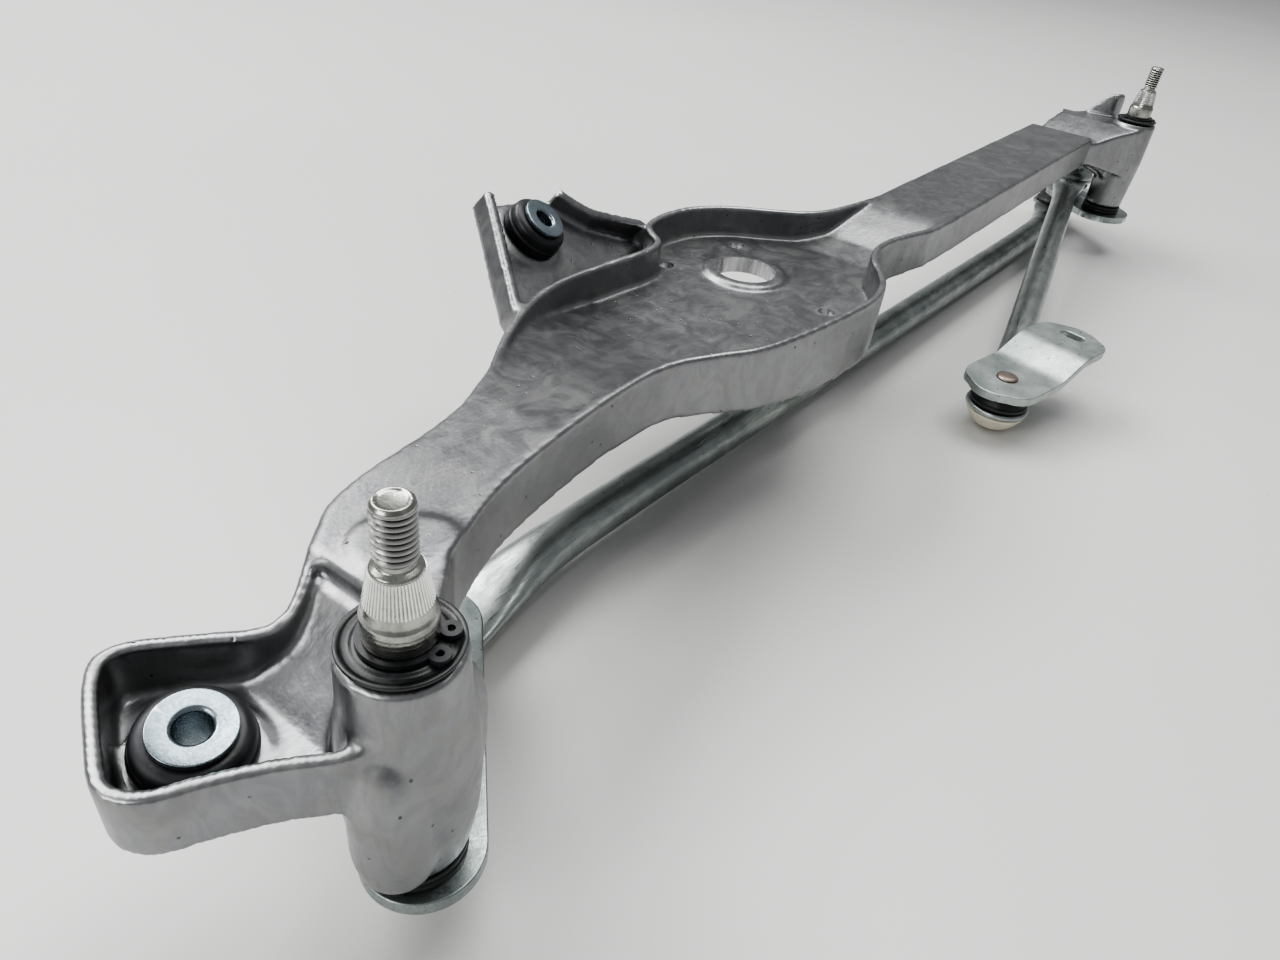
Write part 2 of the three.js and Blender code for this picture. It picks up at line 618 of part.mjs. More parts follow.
// The drive rod runs down from the ball on top of the far lever to the motor crank.
function driveRod() {
  const start = new THREE.Vector3(SPINDLE_SPACING + DRIVE_BALL.x, DRIVE_BALL.y, DRIVE_BALL_Z);
  const flat = EYE_T / 2;
  const along = (t, rise, halfWidth, halfHeight) => {
    const p = start.clone().lerp(CRANK_BALL, t);
    return [p.x, p.y, p.z + rise, halfWidth, halfHeight];
  };
  const level = (t, z, halfWidth) => {
    const p = start.clone().lerp(CRANK_BALL, t);
    return [p.x, p.y, z, halfWidth, flat];
  };
  const stations = [
    level(0.015, start.z, 11.5), level(0.045, start.z, 11),
    along(0.075, 1, 10, 4.4), along(0.11, 1, 8.6, 6.4),
    along(0.15, 0, DRIVE_ROD_R, DRIVE_ROD_R), along(0.5, -0.6, DRIVE_ROD_R, DRIVE_ROD_R),
    along(0.82, 0.4, DRIVE_ROD_R, DRIVE_ROD_R), along(0.88, 1, 8.4, 6.2), along(0.93, 0.6, 10, 3.6),
    level(0.955, BALL_Z, 11), level(0.99, BALL_Z, 11.5),
  ];
  const eyes = [start, CRANK_BALL].map(({ x, y, z }) => ({ x, y, z, play: 0 }));
  return rod("drive_rod", stations, eyes);
}

// ---------- motor crank ----------
// A pressed strip with two bends, a flatted slot for the motor shaft and a rivet hole for the ball.
function motorCrank() {
  const halfWidth = 17.4;
  const [left, right] = [-19.8, 67.6];
  const corner = 7;
  const top = [[-30, 0], [17, 0], [22, 1.2], [35, CRANK_LIFT - 1.2], [40, CRANK_LIFT], [80, CRANK_LIFT]];
  const profile = [...top, ...top.map(([x, z]) => [x, z - LEVER_T]).reverse()];
  const outline = new THREE.Shape();
  outline.moveTo(left + 12 + corner, -halfWidth);
  outline.lineTo(right - 8 - corner, -halfWidth);
  outline.quadraticCurveTo(right - 7, -halfWidth, right - 4, -halfWidth + corner);
  outline.quadraticCurveTo(right + 4, 0, right - 4, halfWidth - corner);
  outline.quadraticCurveTo(right - 7, halfWidth, right - 8 - corner, halfWidth);
  outline.lineTo(left + 12 + corner, halfWidth);
  outline.quadraticCurveTo(left + 8, halfWidth, left + 5, halfWidth - corner);
  outline.quadraticCurveTo(left - 5, 0, left + 5, -halfWidth + corner);
  outline.quadraticCurveTo(left + 8, -halfWidth, left + 12 + corner, -halfWidth);
  const slot = new THREE.Shape();
  slot.absarc(56.4, 2.6, 3.4, 0, Math.PI, false);
  slot.absarc(56.4, -2.6, 3.4, Math.PI, 2 * Math.PI, false);
  const strip = slab(profile, -2 * halfWidth, 2 * halfWidth).intersect(prism(outline, -TALL, TALL));
  const cuts = [prism(slot, -TALL, TALL), disc(RIVET_R + GAP, -TALL, TALL)];
  const mesh = piece("motor_crank", without(strip, cuts), zincPlate);
  mesh.position.set(CRANK_BALL.x, CRANK_BALL.y, CRANK_LEVEL);
  mesh.rotation.z = CRANK_ANGLE;
  return mesh;
}

// ---------- assembly ----------
const wiperLinkage = new THREE.Group();
const heights = new THREE.Group(); // drawn from the barrel seat, then set down to the spindle's end face
heights.position.z = -STICKOUT;
wiperLinkage.add(heights);

const nearLeverTop = NEAR_BARREL_END - SEAL_H;
const nearLeverLow = nearLeverTop - LEVER_T;
const farLeverTop = FAR_BARREL_END - SEAL_H;
const farLeverLow = farLeverTop - LEVER_T;
const hubHole = [0, 0, 5 + GAP];
const rivetHole = ({ x, y }) => [x, y, RIVET_R + GAP];

const farSide = new THREE.Group();
farSide.position.x = SPINDLE_SPACING;
farSide.add(
  barrelSet("far", FAR_BARREL_END),
  lever(
    "far_lever",
    [[0, 0, 18.5], [DRIVE_BALL.x, DRIVE_BALL.y, 13], [FAR_BALL.x, FAR_BALL.y, 13]],
    farLeverTop,
    [hubHole, rivetHole(DRIVE_BALL), rivetHole(FAR_BALL)],
  ),
  ballJoint(["far_ball_stud", "long_rod_far_cup", "long_rod_far_boot"],
    { x: FAR_BALL.x, y: FAR_BALL.y, z: farLeverLow, reach: farLeverLow - BALL_Z, play: OPEN_PIVOT_PLAY }),
  ballJoint(["drive_ball_stud", "drive_rod_far_cup", "drive_rod_far_boot"],
    { x: DRIVE_BALL.x, y: DRIVE_BALL.y, z: farLeverTop, reach: DRIVE_BALL_Z - farLeverTop, up: true }),
);

const crankLow = CRANK_LEVEL - LEVER_T;
heights.add(
  frame(),
  ...MOUNTS.map(mountSet),
  barrelSet("near", NEAR_BARREL_END),
  lever("near_lever", [[1.2, -1.2, 14.4], [NEAR_BALL.x, NEAR_BALL.y, 15.6]], nearLeverTop,
    [hubHole, rivetHole(NEAR_BALL)]),
  ballJoint(["near_ball_stud", "long_rod_near_cup", "long_rod_near_boot"],
    { x: NEAR_BALL.x, y: NEAR_BALL.y, z: nearLeverLow, reach: nearLeverLow - BALL_Z }),
  farSide,
  longRod(),
  driveRod(),
  motorCrank(),
  ballJoint(["crank_ball_stud", "drive_rod_motor_cup", "drive_rod_motor_boot"],
    { x: CRANK_BALL.x, y: CRANK_BALL.y, z: crankLow, reach: crankLow - BALL_Z, material: copperyRivet }),
);

export default wiperLinkage;
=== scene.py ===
# %% [markdown]
# # A windshield wiper linkage
# One aluminium casting carries two wiper spindles. Each spindle has a lever pressed on its foot,
# and steel rods with ball joints tie the levers to the motor's crank.
# The CAD model fixes every size and place. Here each part gets the shape and the finish that the
# eye expects: rounded cast edges, a cut thread, rolled rubber, zinc plate.

# %% Load the frame
import json
import math

import bmesh
import bpy
from mathutils import Matrix, Vector


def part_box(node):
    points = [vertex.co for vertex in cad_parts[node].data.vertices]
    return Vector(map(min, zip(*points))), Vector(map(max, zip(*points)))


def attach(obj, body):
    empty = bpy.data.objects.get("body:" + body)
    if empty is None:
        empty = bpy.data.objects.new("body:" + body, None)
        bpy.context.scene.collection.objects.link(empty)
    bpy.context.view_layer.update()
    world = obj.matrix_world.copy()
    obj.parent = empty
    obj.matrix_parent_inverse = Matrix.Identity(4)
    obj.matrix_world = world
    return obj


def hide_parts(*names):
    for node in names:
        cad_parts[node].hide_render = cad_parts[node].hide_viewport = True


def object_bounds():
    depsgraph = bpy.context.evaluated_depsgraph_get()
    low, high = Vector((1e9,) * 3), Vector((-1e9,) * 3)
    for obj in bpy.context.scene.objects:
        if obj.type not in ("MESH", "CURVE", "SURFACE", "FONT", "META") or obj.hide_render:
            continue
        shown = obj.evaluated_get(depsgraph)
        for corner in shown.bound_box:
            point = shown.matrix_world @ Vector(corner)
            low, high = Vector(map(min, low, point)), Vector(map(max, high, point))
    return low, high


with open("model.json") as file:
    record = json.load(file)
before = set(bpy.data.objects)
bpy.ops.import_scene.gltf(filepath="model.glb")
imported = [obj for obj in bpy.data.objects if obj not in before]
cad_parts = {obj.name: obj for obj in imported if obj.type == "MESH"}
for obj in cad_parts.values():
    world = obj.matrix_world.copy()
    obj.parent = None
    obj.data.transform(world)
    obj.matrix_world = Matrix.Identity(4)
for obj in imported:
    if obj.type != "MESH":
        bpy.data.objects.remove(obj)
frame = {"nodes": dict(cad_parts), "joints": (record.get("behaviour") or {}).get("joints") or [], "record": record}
cad_low, cad_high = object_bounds()
print("CAD box", [round(v, 4) for v in (*cad_low, *cad_high)])

# %% [markdown]
# ## One ruler for every piece
# Drawings of this part count heights from the seat on top of the near barrel, in millimetres.
# Each mesh is drawn that way and set into the frame in one step at the end. The places of the
# spindles and the balls come from the joints, so a piece always meets the CAD.

# %% Places taken from the frame
joints = {joint["name"]: joint for joint in frame["joints"]}
WASHER_GAP = 0.35  # the washer floats this far over the seat
seat_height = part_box("near_top_washer")[0].z * 1000 - WASHER_GAP
TO_ROW = Matrix.Scale(0.001, 4) @ Matrix.Translation((0, 0, seat_height))


def joint_place(name):
    x, y, z = (1000 * v for v in joints[name]["pos_m"])
    return Vector((x, y, z - seat_height))


FAR_AXIS = joint_place("far_wipe").x
NEAR_BALL = joint_place("long_rod_pivot")
DRIVE_BALL = joint_place("drive_rod_pivot")
CRANK_BALL = joint_place("crank_swivel")
far_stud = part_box("far_ball_stud")
FAR_BALL = Vector((*(500 * (far_stud[0] + far_stud[1])).xy, NEAR_BALL.z))
print("spindles", round(FAR_AXIS, 1), "mm apart; far ball at", [round(v, 1) for v in FAR_BALL])

# %% [markdown]
# ## Drawing tools
# A plan outline is a list of points. A curve through a few measured points is smoother than the
# points alone, so `curve` runs a centripetal Catmull-Rom spline through them, which never loops.
# `rounded` takes the sharp corners off a turned profile, since no real edge is perfectly sharp.

# %% Curves through points
def curve(points, spacing=2.0, closed=False):
    """A smooth run through points of any dimension, about one step per spacing."""
    points = [Vector(p) for p in points]
    if closed:
        points = [points[-1], *points, points[0], points[1]]
    else:
        points = [2 * points[0] - points[1], *points, 2 * points[-1] - points[-2]]
    run = []
    for p0, p1, p2, p3 in zip(points, points[1:], points[2:], points[3:]):
        k0, k1, k2 = (max((b - a).length, 1e-4) ** 0.5 for a, b in ((p0, p1), (p1, p2), (p2, p3)))
        m1 = ((p1 - p0) / k0 - (p2 - p0) / (k0 + k1) + (p2 - p1) / k1) * k1
        m2 = ((p2 - p1) / k1 - (p3 - p1) / (k1 + k2) + (p3 - p2) / k2) * k1
        steps = max(1, round((p2 - p1).length / spacing))
        for i in range(steps):
            t = i / steps
            run.append(
                (2 * t**3 - 3 * t**2 + 1) * p1 + (t**3 - 2 * t**2 + t) * m1
                + (3 * t**2 - 2 * t**3) * p2 + (t**3 - t**2) * m2
            )
    return run if closed else [*run, points[-2]]


MOST_CUT = 0.45  # a corner takes at most this share of a side


def rounded(points, radius=0.4, closed=False, steps=3):
    """The same outline with its corners turned into small curves."""
    points = [Vector(p) for p in points]
    last = len(points) - 1
    made = []
    for i, corner in enumerate(points):
        if not closed and i in (0, last):
            made.append(corner)
            continue
        before, after = points[i - 1] - corner, points[(i + 1) % len(points)] - corner
        cut = min(radius, MOST_CUT * before.length, MOST_CUT * after.length)
        a, b = corner + before.normalized() * cut, corner + after.normalized() * cut
        for s in range(steps + 1):
            t = s / steps
            made.append((1 - t) ** 2 * a + 2 * t * (1 - t) * corner + t * t * b)
    return made


def height_on(profile, x):
    """The height of a side profile, a list of (x, z), at x."""
    for (x0, z0), (x1, z1) in zip(profile, profile[1:]):
        if x0 <= x <= x1:
            return z0 + (z1 - z0) * (x - x0) / max(x1 - x0, 1e-6)
    return profile[0][1] if x < profile[0][0] else profile[-1][1]


square = [(0, 0), (0, 20), (20, 20), (20, 0)]
print("a square with round corners has", len(rounded(square, 1, closed=True)), "points")

# %% [markdown]
# ## From outlines to solids
# Most of these parts are made one of three ways, and so are their meshes: turned on a lathe,
# cut from plate, or cast in a mould. `turned`, `plate` and `wall` add one closed shell each to a
# mesh in the making.

# %% Closed shells
def grid_shell(mesh, rings, around, ends=True):
    """Joins rings of vertices into a closed shell. around closes each ring, ends caps the run."""
    count = len(rings)
    for i in range(count if not ends else count - 1):
        low, high = rings[i], rings[(i + 1) % count]
        sides = max(len(low), len(high))
        for k in range(sides if around else sides - 1):
            corners = [low[k % len(low)], low[(k + 1) % len(low)],
                       high[(k + 1) % len(high)], high[k % len(high)]]
            corners = list(dict.fromkeys(corners))
            if len(corners) > 2:
                mesh.faces.new(corners)
    if ends:
        for ring in (rings[0], rings[-1]):
            if len(ring) > 2:
                mesh.faces.new(ring)


def turned(mesh, profile, place=(0, 0, 0), sides=64, closed=False):
    """Turns a profile of (radius, height) about an upright axis, or about the axis of a matrix."""
    place = place if isinstance(place, Matrix) else Matrix.Translation(place)
    rings = []
    for r, z in profile:
        if r < 1e-6:
            rings.append([mesh.verts.new(place @ Vector((0, 0, z)))])
            continue
        turn = [2 * math.pi * k / sides for k in range(sides)]
        rings.append([
            mesh.verts.new(place @ Vector((r * math.cos(a), r * math.sin(a), z))) for a in turn
        ])
    grid_shell(mesh, rings, around=True, ends=not closed)


def plate(mesh, outline, low, high, place=Matrix.Identity(4)):
    """A flat plate with the given plan outline."""
    rings = [[mesh.verts.new(place @ Vector((x, y, z))) for x, y in outline] for z in (low, high)]
    grid_shell(mesh, rings, around=True)


def inset(outline, distance):
    """A clockwise outline moved inwards."""
    moved = []
    for i, point in enumerate(outline):
        before, after = outline[i - 1], outline[(i + 1) % len(outline)]
        a, b = (point - before).normalized(), (after - point).normalized()
        a, b = Vector((a.y, -a.x)), Vector((b.y, -b.x))
        moved.append(point + (a + b) * (distance / (1 + a.dot(b))))
    return moved


def evenly(outline, spacing=2.0):
    """The same closed outline with points along its straight sides."""
    made = []
    for a, b in zip(outline, [*outline[1:], outline[0]]):
        steps = max(1, round((b - a).length / spacing))
        made += [a.lerp(b, i / steps) for i in range(steps)]
    return made


trial = bmesh.new()
plate(trial, square, 0, 3)
print("a trial plate has", len(trial.faces), "faces and a volume of", trial.calc_volume(), "mm3")
trial.free()

# %% Cast walls and floors
def wall(mesh, outline, top, bottom, thickness=3.0):
    """A wall that follows a closed outline. top and bottom give its heights at a point."""
    inner = inset(outline, thickness)
    rings = []
    for outside, inside in zip(outline, inner):
        rings.append([
            mesh.verts.new((*outside, top(outside))), mesh.verts.new((*inside, top(inside))),
            mesh.verts.new((*inside, bottom(inside))), mesh.verts.new((*outside, bottom(outside))),
        ])
    grid_shell(mesh, rings, around=True, ends=False)


def cast_floor(mesh, outline, profile, thickness=3.2):
    """A floor plate whose top face follows a side profile of (x, z)."""
    sheet = bmesh.new()
    sheet.faces.new([sheet.verts.new((x, y, 0)) for x, y in outline])
    bmesh.ops.triangulate(sheet, faces=sheet.faces)
    low, high = min(x for x, _ in outline), max(x for x, _ in outline)
    for x, _ in profile:
        if low < x < high:
            everything = [*sheet.verts, *sheet.edges, *sheet.faces]
            bmesh.ops.bisect_plane(sheet, geom=everything, plane_co=(x, 0, 0), plane_no=(1, 0, 0))
    for vertex in sheet.verts:
        vertex.co.z = height_on(profile, vertex.co.x)
    under = bmesh.ops.extrude_face_region(sheet, geom=sheet.faces[:])["geom"]
    drop = [item for item in under if isinstance(item, bmesh.types.BMVert)]
    bmesh.ops.translate(sheet, verts=drop, vec=(0, 0, -thickness))
    part = bpy.data.meshes.new("sheet")
    sheet.to_mesh(part)
    mesh.from_mesh(part)
    bpy.data.meshes.remove(part)
    sheet.free()


trial = bmesh.new()
wall(trial, [Vector(p) for p in square], lambda p: 5, lambda p: 0)
print("a trial wall has", len(trial.faces), "faces")
trial.free()

# %% [markdown]
# ## Finishing a piece
# A finished piece keeps its object at the origin with its place in its mesh, so its patterns
# are laid out in the frame's own coordinates. `settle` turns the result of the modifiers into a
# plain mesh.

# %% Making objects
def put(name, mesh):
    """A mesh in the making becomes an object, set into the frame's metres."""
    bmesh.ops.recalc_face_normals(mesh, faces=mesh.faces)
    mesh.transform(TO_ROW)
    data = bpy.data.meshes.new(name)
    mesh.to_mesh(data)
    mesh.free()
    piece = bpy.data.objects.new(name, data)
    bpy.context.scene.collection.objects.link(piece)
    return piece


def settle(piece):
    """The result of the piece's modifiers becomes its plain mesh."""
    graph = bpy.context.evaluated_depsgraph_get()
    result = bpy.data.meshes.new_from_object(piece.evaluated_get(graph))
    piece.modifiers.clear()
    before, piece.data = piece.data, result
    bpy.data.meshes.remove(before)
    return piece


def modify(piece, kind, **settings):
    modifier = piece.modifiers.new(kind.lower(), kind)
    for name, value in settings.items():
        setattr(modifier, name, value)
    return settle(piece)


def cut(piece, tool, operation="DIFFERENCE"):
    modify(piece, "BOOLEAN", object=tool, operation=operation, solver="EXACT")
    bpy.data.objects.remove(tool)
    return piece


def fuse(piece, voxel, rounds):
    """Overlapping shells become one skin, as metal that filled one mould, with soft corners."""
    modify(piece, "REMESH", mode="VOXEL", voxel_size=voxel)
    return modify(piece, "SMOOTH", factor=0.5, iterations=rounds)


finished = []


def finish(piece, body, material, nodes, sharp=60, plain_faces=False):
    """Shading, finish, body and the CAD nodes that the piece stands for."""
    piece.data.shade_smooth()
    piece.data.set_sharp_from_angle(angle=math.radians(sharp))
    if plain_faces:  # the big faces stay flat to the eye, and only the small edge faces curve
        modify(piece, "WEIGHTED_NORMAL", mode="FACE_AREA", weight=100, keep_sharp=True)
    piece.data.materials.clear()
    piece.data.materials.append(material)
    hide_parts(*nodes)
    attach(piece, body)
    finished.append(piece.name)
    print(f"{piece.name}: {len(piece.data.polygons)} faces")
    return piece


def turned_piece(name, profile, place, body, material, node, sharp=60, sides=64, closed=True):
    """A whole part that is turned, from its profile to its body."""
    mesh = bmesh.new()
    turned(mesh, profile, place, sides, closed)
    return finish(put(name, mesh), body, material, [node], sharp)


print(len(frame["nodes"]), "CAD nodes to finish or replace")

# %% [markdown]
# ## Materials
# Colours are written as the hex values a paint shop would use and turned to linear light once.
# Patterns read Object coordinates, which are metres here, so a pattern with a grain of s
# millimetres has a scale of 1000 / s.

# %% Colour and node helpers
def linear(hex_colour):
    def channel(text):
        v = int(text, 16) / 255
        return v / 12.92 if v <= 0.04045 else ((v + 0.055) / 1.055) ** 2.4
    return (*(channel(hex_colour[i:i + 2]) for i in (1, 3, 5)), 1.0)


def per_mm(size):
    return 1000 / size


def add(tree, kind, sockets=None, **settings):
    """Adds a node with its settings. A socket in sockets is linked, anything else is set."""
    node = tree.nodes.new(kind)
    for name, value in settings.items():
        setattr(node, name, value)
    for key, value in (sockets or {}).items():
        if isinstance(value, bpy.types.NodeSocket):
            tree.links.new(value, node.inputs[key])
        else:
            node.inputs[key].default_value = value
    return node


print("middle grey in linear light:", round(linear("#808080")[0], 3))

# %% Coats and reliefs
A_COLOUR, B_COLOUR, COLOUR_OUT = 6, 7, 2  # sockets of a Mix node set to colours
VALUE, FROM_MIN, FROM_MAX, TO_MIN, TO_MAX = range(5)  # sockets of a Map Range node


def new_material(name, slot, metallic, **fixed):
    material = bpy.data.materials.new(name)
    material.use_nodes = True
    tree = material.node_tree
    shader = tree.nodes["Principled BSDF"]
    shader.inputs["Metallic"].default_value = metallic
    for key, value in fixed.items():
        shader.inputs[key.replace("_", " ")].default_value = value
    return material, tree, shader, add(tree, "ShaderNodeTexCoord").outputs["Object"]


def coated(tree, skin, layers):
    """Lays colours over a skin. In a layer (pattern, low, high, most, colour) the colour starts
    to show where the pattern is at low, and reaches its most where the pattern is at high."""
    for pattern, low, high, most, colour in layers:
        share = add(tree, "ShaderNodeMapRange",
                    {VALUE: pattern, FROM_MIN: low, FROM_MAX: high, TO_MAX: most}).outputs[0]
        skin = add(tree, "ShaderNodeMix", {0: share, A_COLOUR: skin, B_COLOUR: linear(colour)},
                   data_type="RGBA").outputs[COLOUR_OUT]
    return skin


def dressed(tree, shader, skin, dull, reliefs):
    """Colour, roughness and a chain of bumps, each (pattern, metres high, strength)."""
    tree.links.new(skin, shader.inputs["Base Color"])
    tree.links.new(dull, shader.inputs["Roughness"])
    below = {}
    for pattern, height, strength in reliefs:
        bump = add(tree, "ShaderNodeBump",
                   {"Height": pattern, "Distance": height, "Strength": strength, **below})
        below = {"Normal": bump.outputs[0]}
    tree.links.new(bump.outputs[0], shader.inputs["Normal"])


def nodes_in(*materials):
    return {material.name: len(material.node_tree.nodes) for material in materials}


print("a layer strength runs from 0 to 1; a relief is in metres, so 0.0001 is a tenth of a mm")

# %% [markdown]
# ### Die-cast aluminium
# Molten alloy is shot into a steel die and freezes in a fraction of a second. That leaves a grey
# satin skin with cloudy patches, curved flow lines where two fronts met, a fine orange peel, a
# few pits, and bright edges where castings rub together in the box. Large noise makes the clouds,
# stretched noise makes the flow lines, and the mesh's own curvature finds the rubbed edges. The
# curvature also darkens the inside corners, and that darkening is painted shade.

# %% Cast aluminium
def cast_aluminium():
    material, tree, shader, place = new_material("die_cast_aluminium", "cast_aluminium", 1.0)
    clouds = add(tree, "ShaderNodeTexNoise",
                 {"Vector": place, "Scale": per_mm(42), "Detail": 5, "Roughness": 0.62,
                  "Distortion": 0.7}).outputs["Fac"]
    patches = add(tree, "ShaderNodeTexNoise",
                  {"Vector": place, "Scale": per_mm(13), "Detail": 4, "Roughness": 0.6,
                   "Distortion": 1.4}).outputs["Fac"]
    drawn = add(tree, "ShaderNodeMapping",
                {"Vector": place, "Rotation": (0, 0, math.radians(-24)), "Scale": (1, 3.4, 1)})
    flow = add(tree, "ShaderNodeTexNoise",
               {"Vector": drawn.outputs[0], "Scale": per_mm(17), "Detail": 6, "Roughness": 0.55,
                "Distortion": 2.6}).outputs["Fac"]
    peel = add(tree, "ShaderNodeTexNoise",
               {"Vector": place, "Scale": per_mm(1.1), "Detail": 3}).outputs["Fac"]
    cells = add(tree, "ShaderNodeTexVoronoi",
                {"Vector": place, "Scale": per_mm(5.5), "Randomness": 1.0}).outputs["Distance"]
    bend = add(tree, "ShaderNodeNewGeometry").outputs["Pointiness"]
    skin = coated(tree, linear("#838486"), [
        (clouds, 0.36, 0.64, 1, "#949597"), (patches, 0.4, 0.62, 0.35, "#989691"),
        # painted shade: the bend layer from 0.48 down to 0.42 darkens the inside corners with #4a4b4d
        (flow, 0.42, 0.6, 0.22, "#66686b"), (bend, 0.48, 0.42, 0.55, "#4a4b4d"),
        (cells, 0.1, 0.05, 1, "#4c4d4f"), (bend, 0.53, 0.6, 1, "#dcdddd")])
    dull = add(tree, "ShaderNodeMapRange", {VALUE: patches, FROM_MIN: 0.35, FROM_MAX: 0.65,
                                            TO_MIN: 0.31, TO_MAX: 0.42}).outputs[0]
    rubbed = add(tree, "ShaderNodeMapRange",
                 {VALUE: bend, FROM_MIN: 0.53, FROM_MAX: 0.6, TO_MAX: 0.14}).outputs[0]
    dull = add(tree, "ShaderNodeMath", {0: dull, 1: rubbed}, operation="SUBTRACT").outputs[0]
    pit = add(tree, "ShaderNodeMapRange",
              {VALUE: cells, FROM_MIN: 0.05, FROM_MAX: 0.1}).outputs[0]
    dressed(tree, shader, skin, dull, [(peel, 0.00012, 0.35), (flow, 0.00022, 0.3),
                                       (clouds, 0.0014, 0.32), (pit, 0.0003, 0.5)])
    return material


CAST_ALUMINIUM = cast_aluminium()
print(nodes_in(CAST_ALUMINIUM))

# %% [markdown]
# ### Zinc-plated steel
# Rods, levers, sleeves and the crank are mild steel with a thin bath of zinc and a clear
# passivation that leans slightly green. Zinc grows in fine worm-like crystals, stains in dark
# specks and carries drawing marks along a rod. One recipe with a base tone and a stretch direction
# covers them all.

# %% Zinc plate
def zinc_plate(name, pale, deep, worm_mm, stretch=(1, 1, 1), turn=0.0, gloss=0.34, speck=0.5):
    material, tree, shader, place = new_material(name, "zinc_plate", 1.0)
    clouds = add(tree, "ShaderNodeTexNoise",
                 {"Vector": place, "Scale": per_mm(16), "Detail": 4,
                  "Roughness": 0.6}).outputs["Fac"]
    drawn = add(tree, "ShaderNodeMapping",
                {"Vector": place, "Rotation": (0, 0, turn), "Scale": stretch}).outputs[0]
    worms = add(tree, "ShaderNodeTexNoise",
                {"Vector": drawn, "Scale": per_mm(worm_mm), "Detail": 3, "Roughness": 0.7,
                 "Distortion": 3.2}).outputs["Fac"]
    specks = add(tree, "ShaderNodeTexNoise",
                 {"Vector": place, "Scale": per_mm(1.6), "Detail": 2}).outputs["Fac"]
    fine = add(tree, "ShaderNodeTexNoise",
               {"Vector": drawn, "Scale": per_mm(0.5), "Detail": 2}).outputs["Fac"]
    bend = add(tree, "ShaderNodeNewGeometry").outputs["Pointiness"]
    skin = coated(tree, linear(deep), [
        (clouds, 0.35, 0.65, 1, pale), (worms, 0.42, 0.6, 0.5, deep),
        (specks, 0.68, 0.74, speck, "#3b4140"), (bend, 0.54, 0.62, 1, "#e3e7e5")])
    dull = add(tree, "ShaderNodeMapRange", {VALUE: worms, FROM_MIN: 0.35, FROM_MAX: 0.65,
                                            TO_MIN: gloss - 0.07, TO_MAX: gloss + 0.1}).outputs[0]
    dressed(tree, shader, skin, dull, [(fine, 0.00005, 0.4), (clouds, 0.0005, 0.35)])
    return material


ALONG_ROD = (0.12, 1, 1)  # drawing marks run along the rods, which lie close to X
ROD_ZINC = zinc_plate("zinc_plated_tube", "#b8bebb", "#8a918f", 5, ALONG_ROD, 0.02)
DRIVE_ZINC = zinc_plate("zinc_plated_drive_tube", "#bdc2bf", "#969d9a", 5, ALONG_ROD, -0.18)
LEVER_ZINC = zinc_plate("zinc_plated_lever", "#a8b0ae", "#7b8382", 3)
CRANK_ZINC = zinc_plate("zinc_plated_crank", "#d0d5d2", "#98a19d", 1.7, gloss=0.44, speck=1.0)
SLEEVE_ZINC = zinc_plate("zinc_plated_sleeve", "#a6b2b8", "#7a868d", 2.4, gloss=0.27, speck=0.25)
print(nodes_in(ROD_ZINC, DRIVE_ZINC, LEVER_ZINC, CRANK_ZINC, SLEEVE_ZINC))

# %% [markdown]
# ### Bright steel, coppery rivets, bronze
# The spindle is turned, rolled and left bright, with lathe rings round it. The crank's rivet has
# a warm passivated head. The bushes are sintered bronze, grainy and dark with oil. Wave rings and
# grain noise carry the tool marks.

# %% Turned and sintered metals
WAVE_REPEAT = 2 * math.pi / 20  # a Wave texture of scale 1 repeats after this many units


def turned_metal(name, slot, pale, deep, gloss, ring_mm):
    material, tree, shader, place = new_material(name, slot, 1.0)
    rings = add(tree, "ShaderNodeTexWave",
                {"Vector": place, "Scale": per_mm(ring_mm) * WAVE_REPEAT, "Distortion": 0.6,
                 "Detail": 2}, bands_direction="Z").outputs["Fac"]
    smears = add(tree, "ShaderNodeTexNoise",
                 {"Vector": place, "Scale": per_mm(6), "Detail": 4,
                  "Roughness": 0.65}).outputs["Fac"]
    grain = add(tree, "ShaderNodeTexNoise",
                {"Vector": place, "Scale": per_mm(0.7), "Detail": 2}).outputs["Fac"]
    bend = add(tree, "ShaderNodeNewGeometry").outputs["Pointiness"]
    skin = coated(tree, linear(pale), [(smears, 0.4, 0.66, 1, deep), (grain, 0.62, 0.75, 0.5, deep),
                                       (bend, 0.54, 0.64, 1, "#f0f0ec")])
    dull = add(tree, "ShaderNodeMapRange", {VALUE: smears, FROM_MIN: 0.35, FROM_MAX: 0.7,
                                            TO_MIN: gloss - 0.06, TO_MAX: gloss + 0.14}).outputs[0]
    dressed(tree, shader, skin, dull, [(rings, 0.00003, 0.5), (grain, 0.00006, 0.4)])
    return material


BRIGHT_STEEL = turned_metal("bright_turned_steel", "bright_steel", "#b9bab3", "#82847f", 0.22, 1.19)
THREAD_STEEL = turned_metal("cut_thread_steel", "bright_steel", "#bcbcb2", "#86877f", 0.2, 0.79)
COPPERY_RIVET = turned_metal("coppery_passivated_rivet", "coppery_rivet", "#a69a90", "#746860",
                             0.38, 2.38)
SINTERED_BRONZE = turned_metal("sintered_bronze", "sintered_bronze", "#96784e", "#5f4a2e", 0.5,
                               3.96)
print(nodes_in(BRIGHT_STEEL, THREAD_STEEL, COPPERY_RIVET, SINTERED_BRONZE))

# %% Painted shade in the thread's grooves
shade = THREAD_STEEL.node_tree
thread_colour = shade.nodes["Principled BSDF"].inputs["Base Color"]
crest = add(shade, "ShaderNodeAttribute", attribute_name="crest").outputs["Fac"]
bare_skin = thread_colour.links[0].from_socket
# painted shade: the grooves darken towards their roots, where crest falls from 0.8 to 0.1
painted_groove_shade = coated(shade, bare_skin, [(crest, 0.8, 0.1, 1, "#32322f")])
shade.links.new(painted_groove_shade, thread_colour)
print("the thread's grooves darken where crest falls from 0.8 to 0.1")

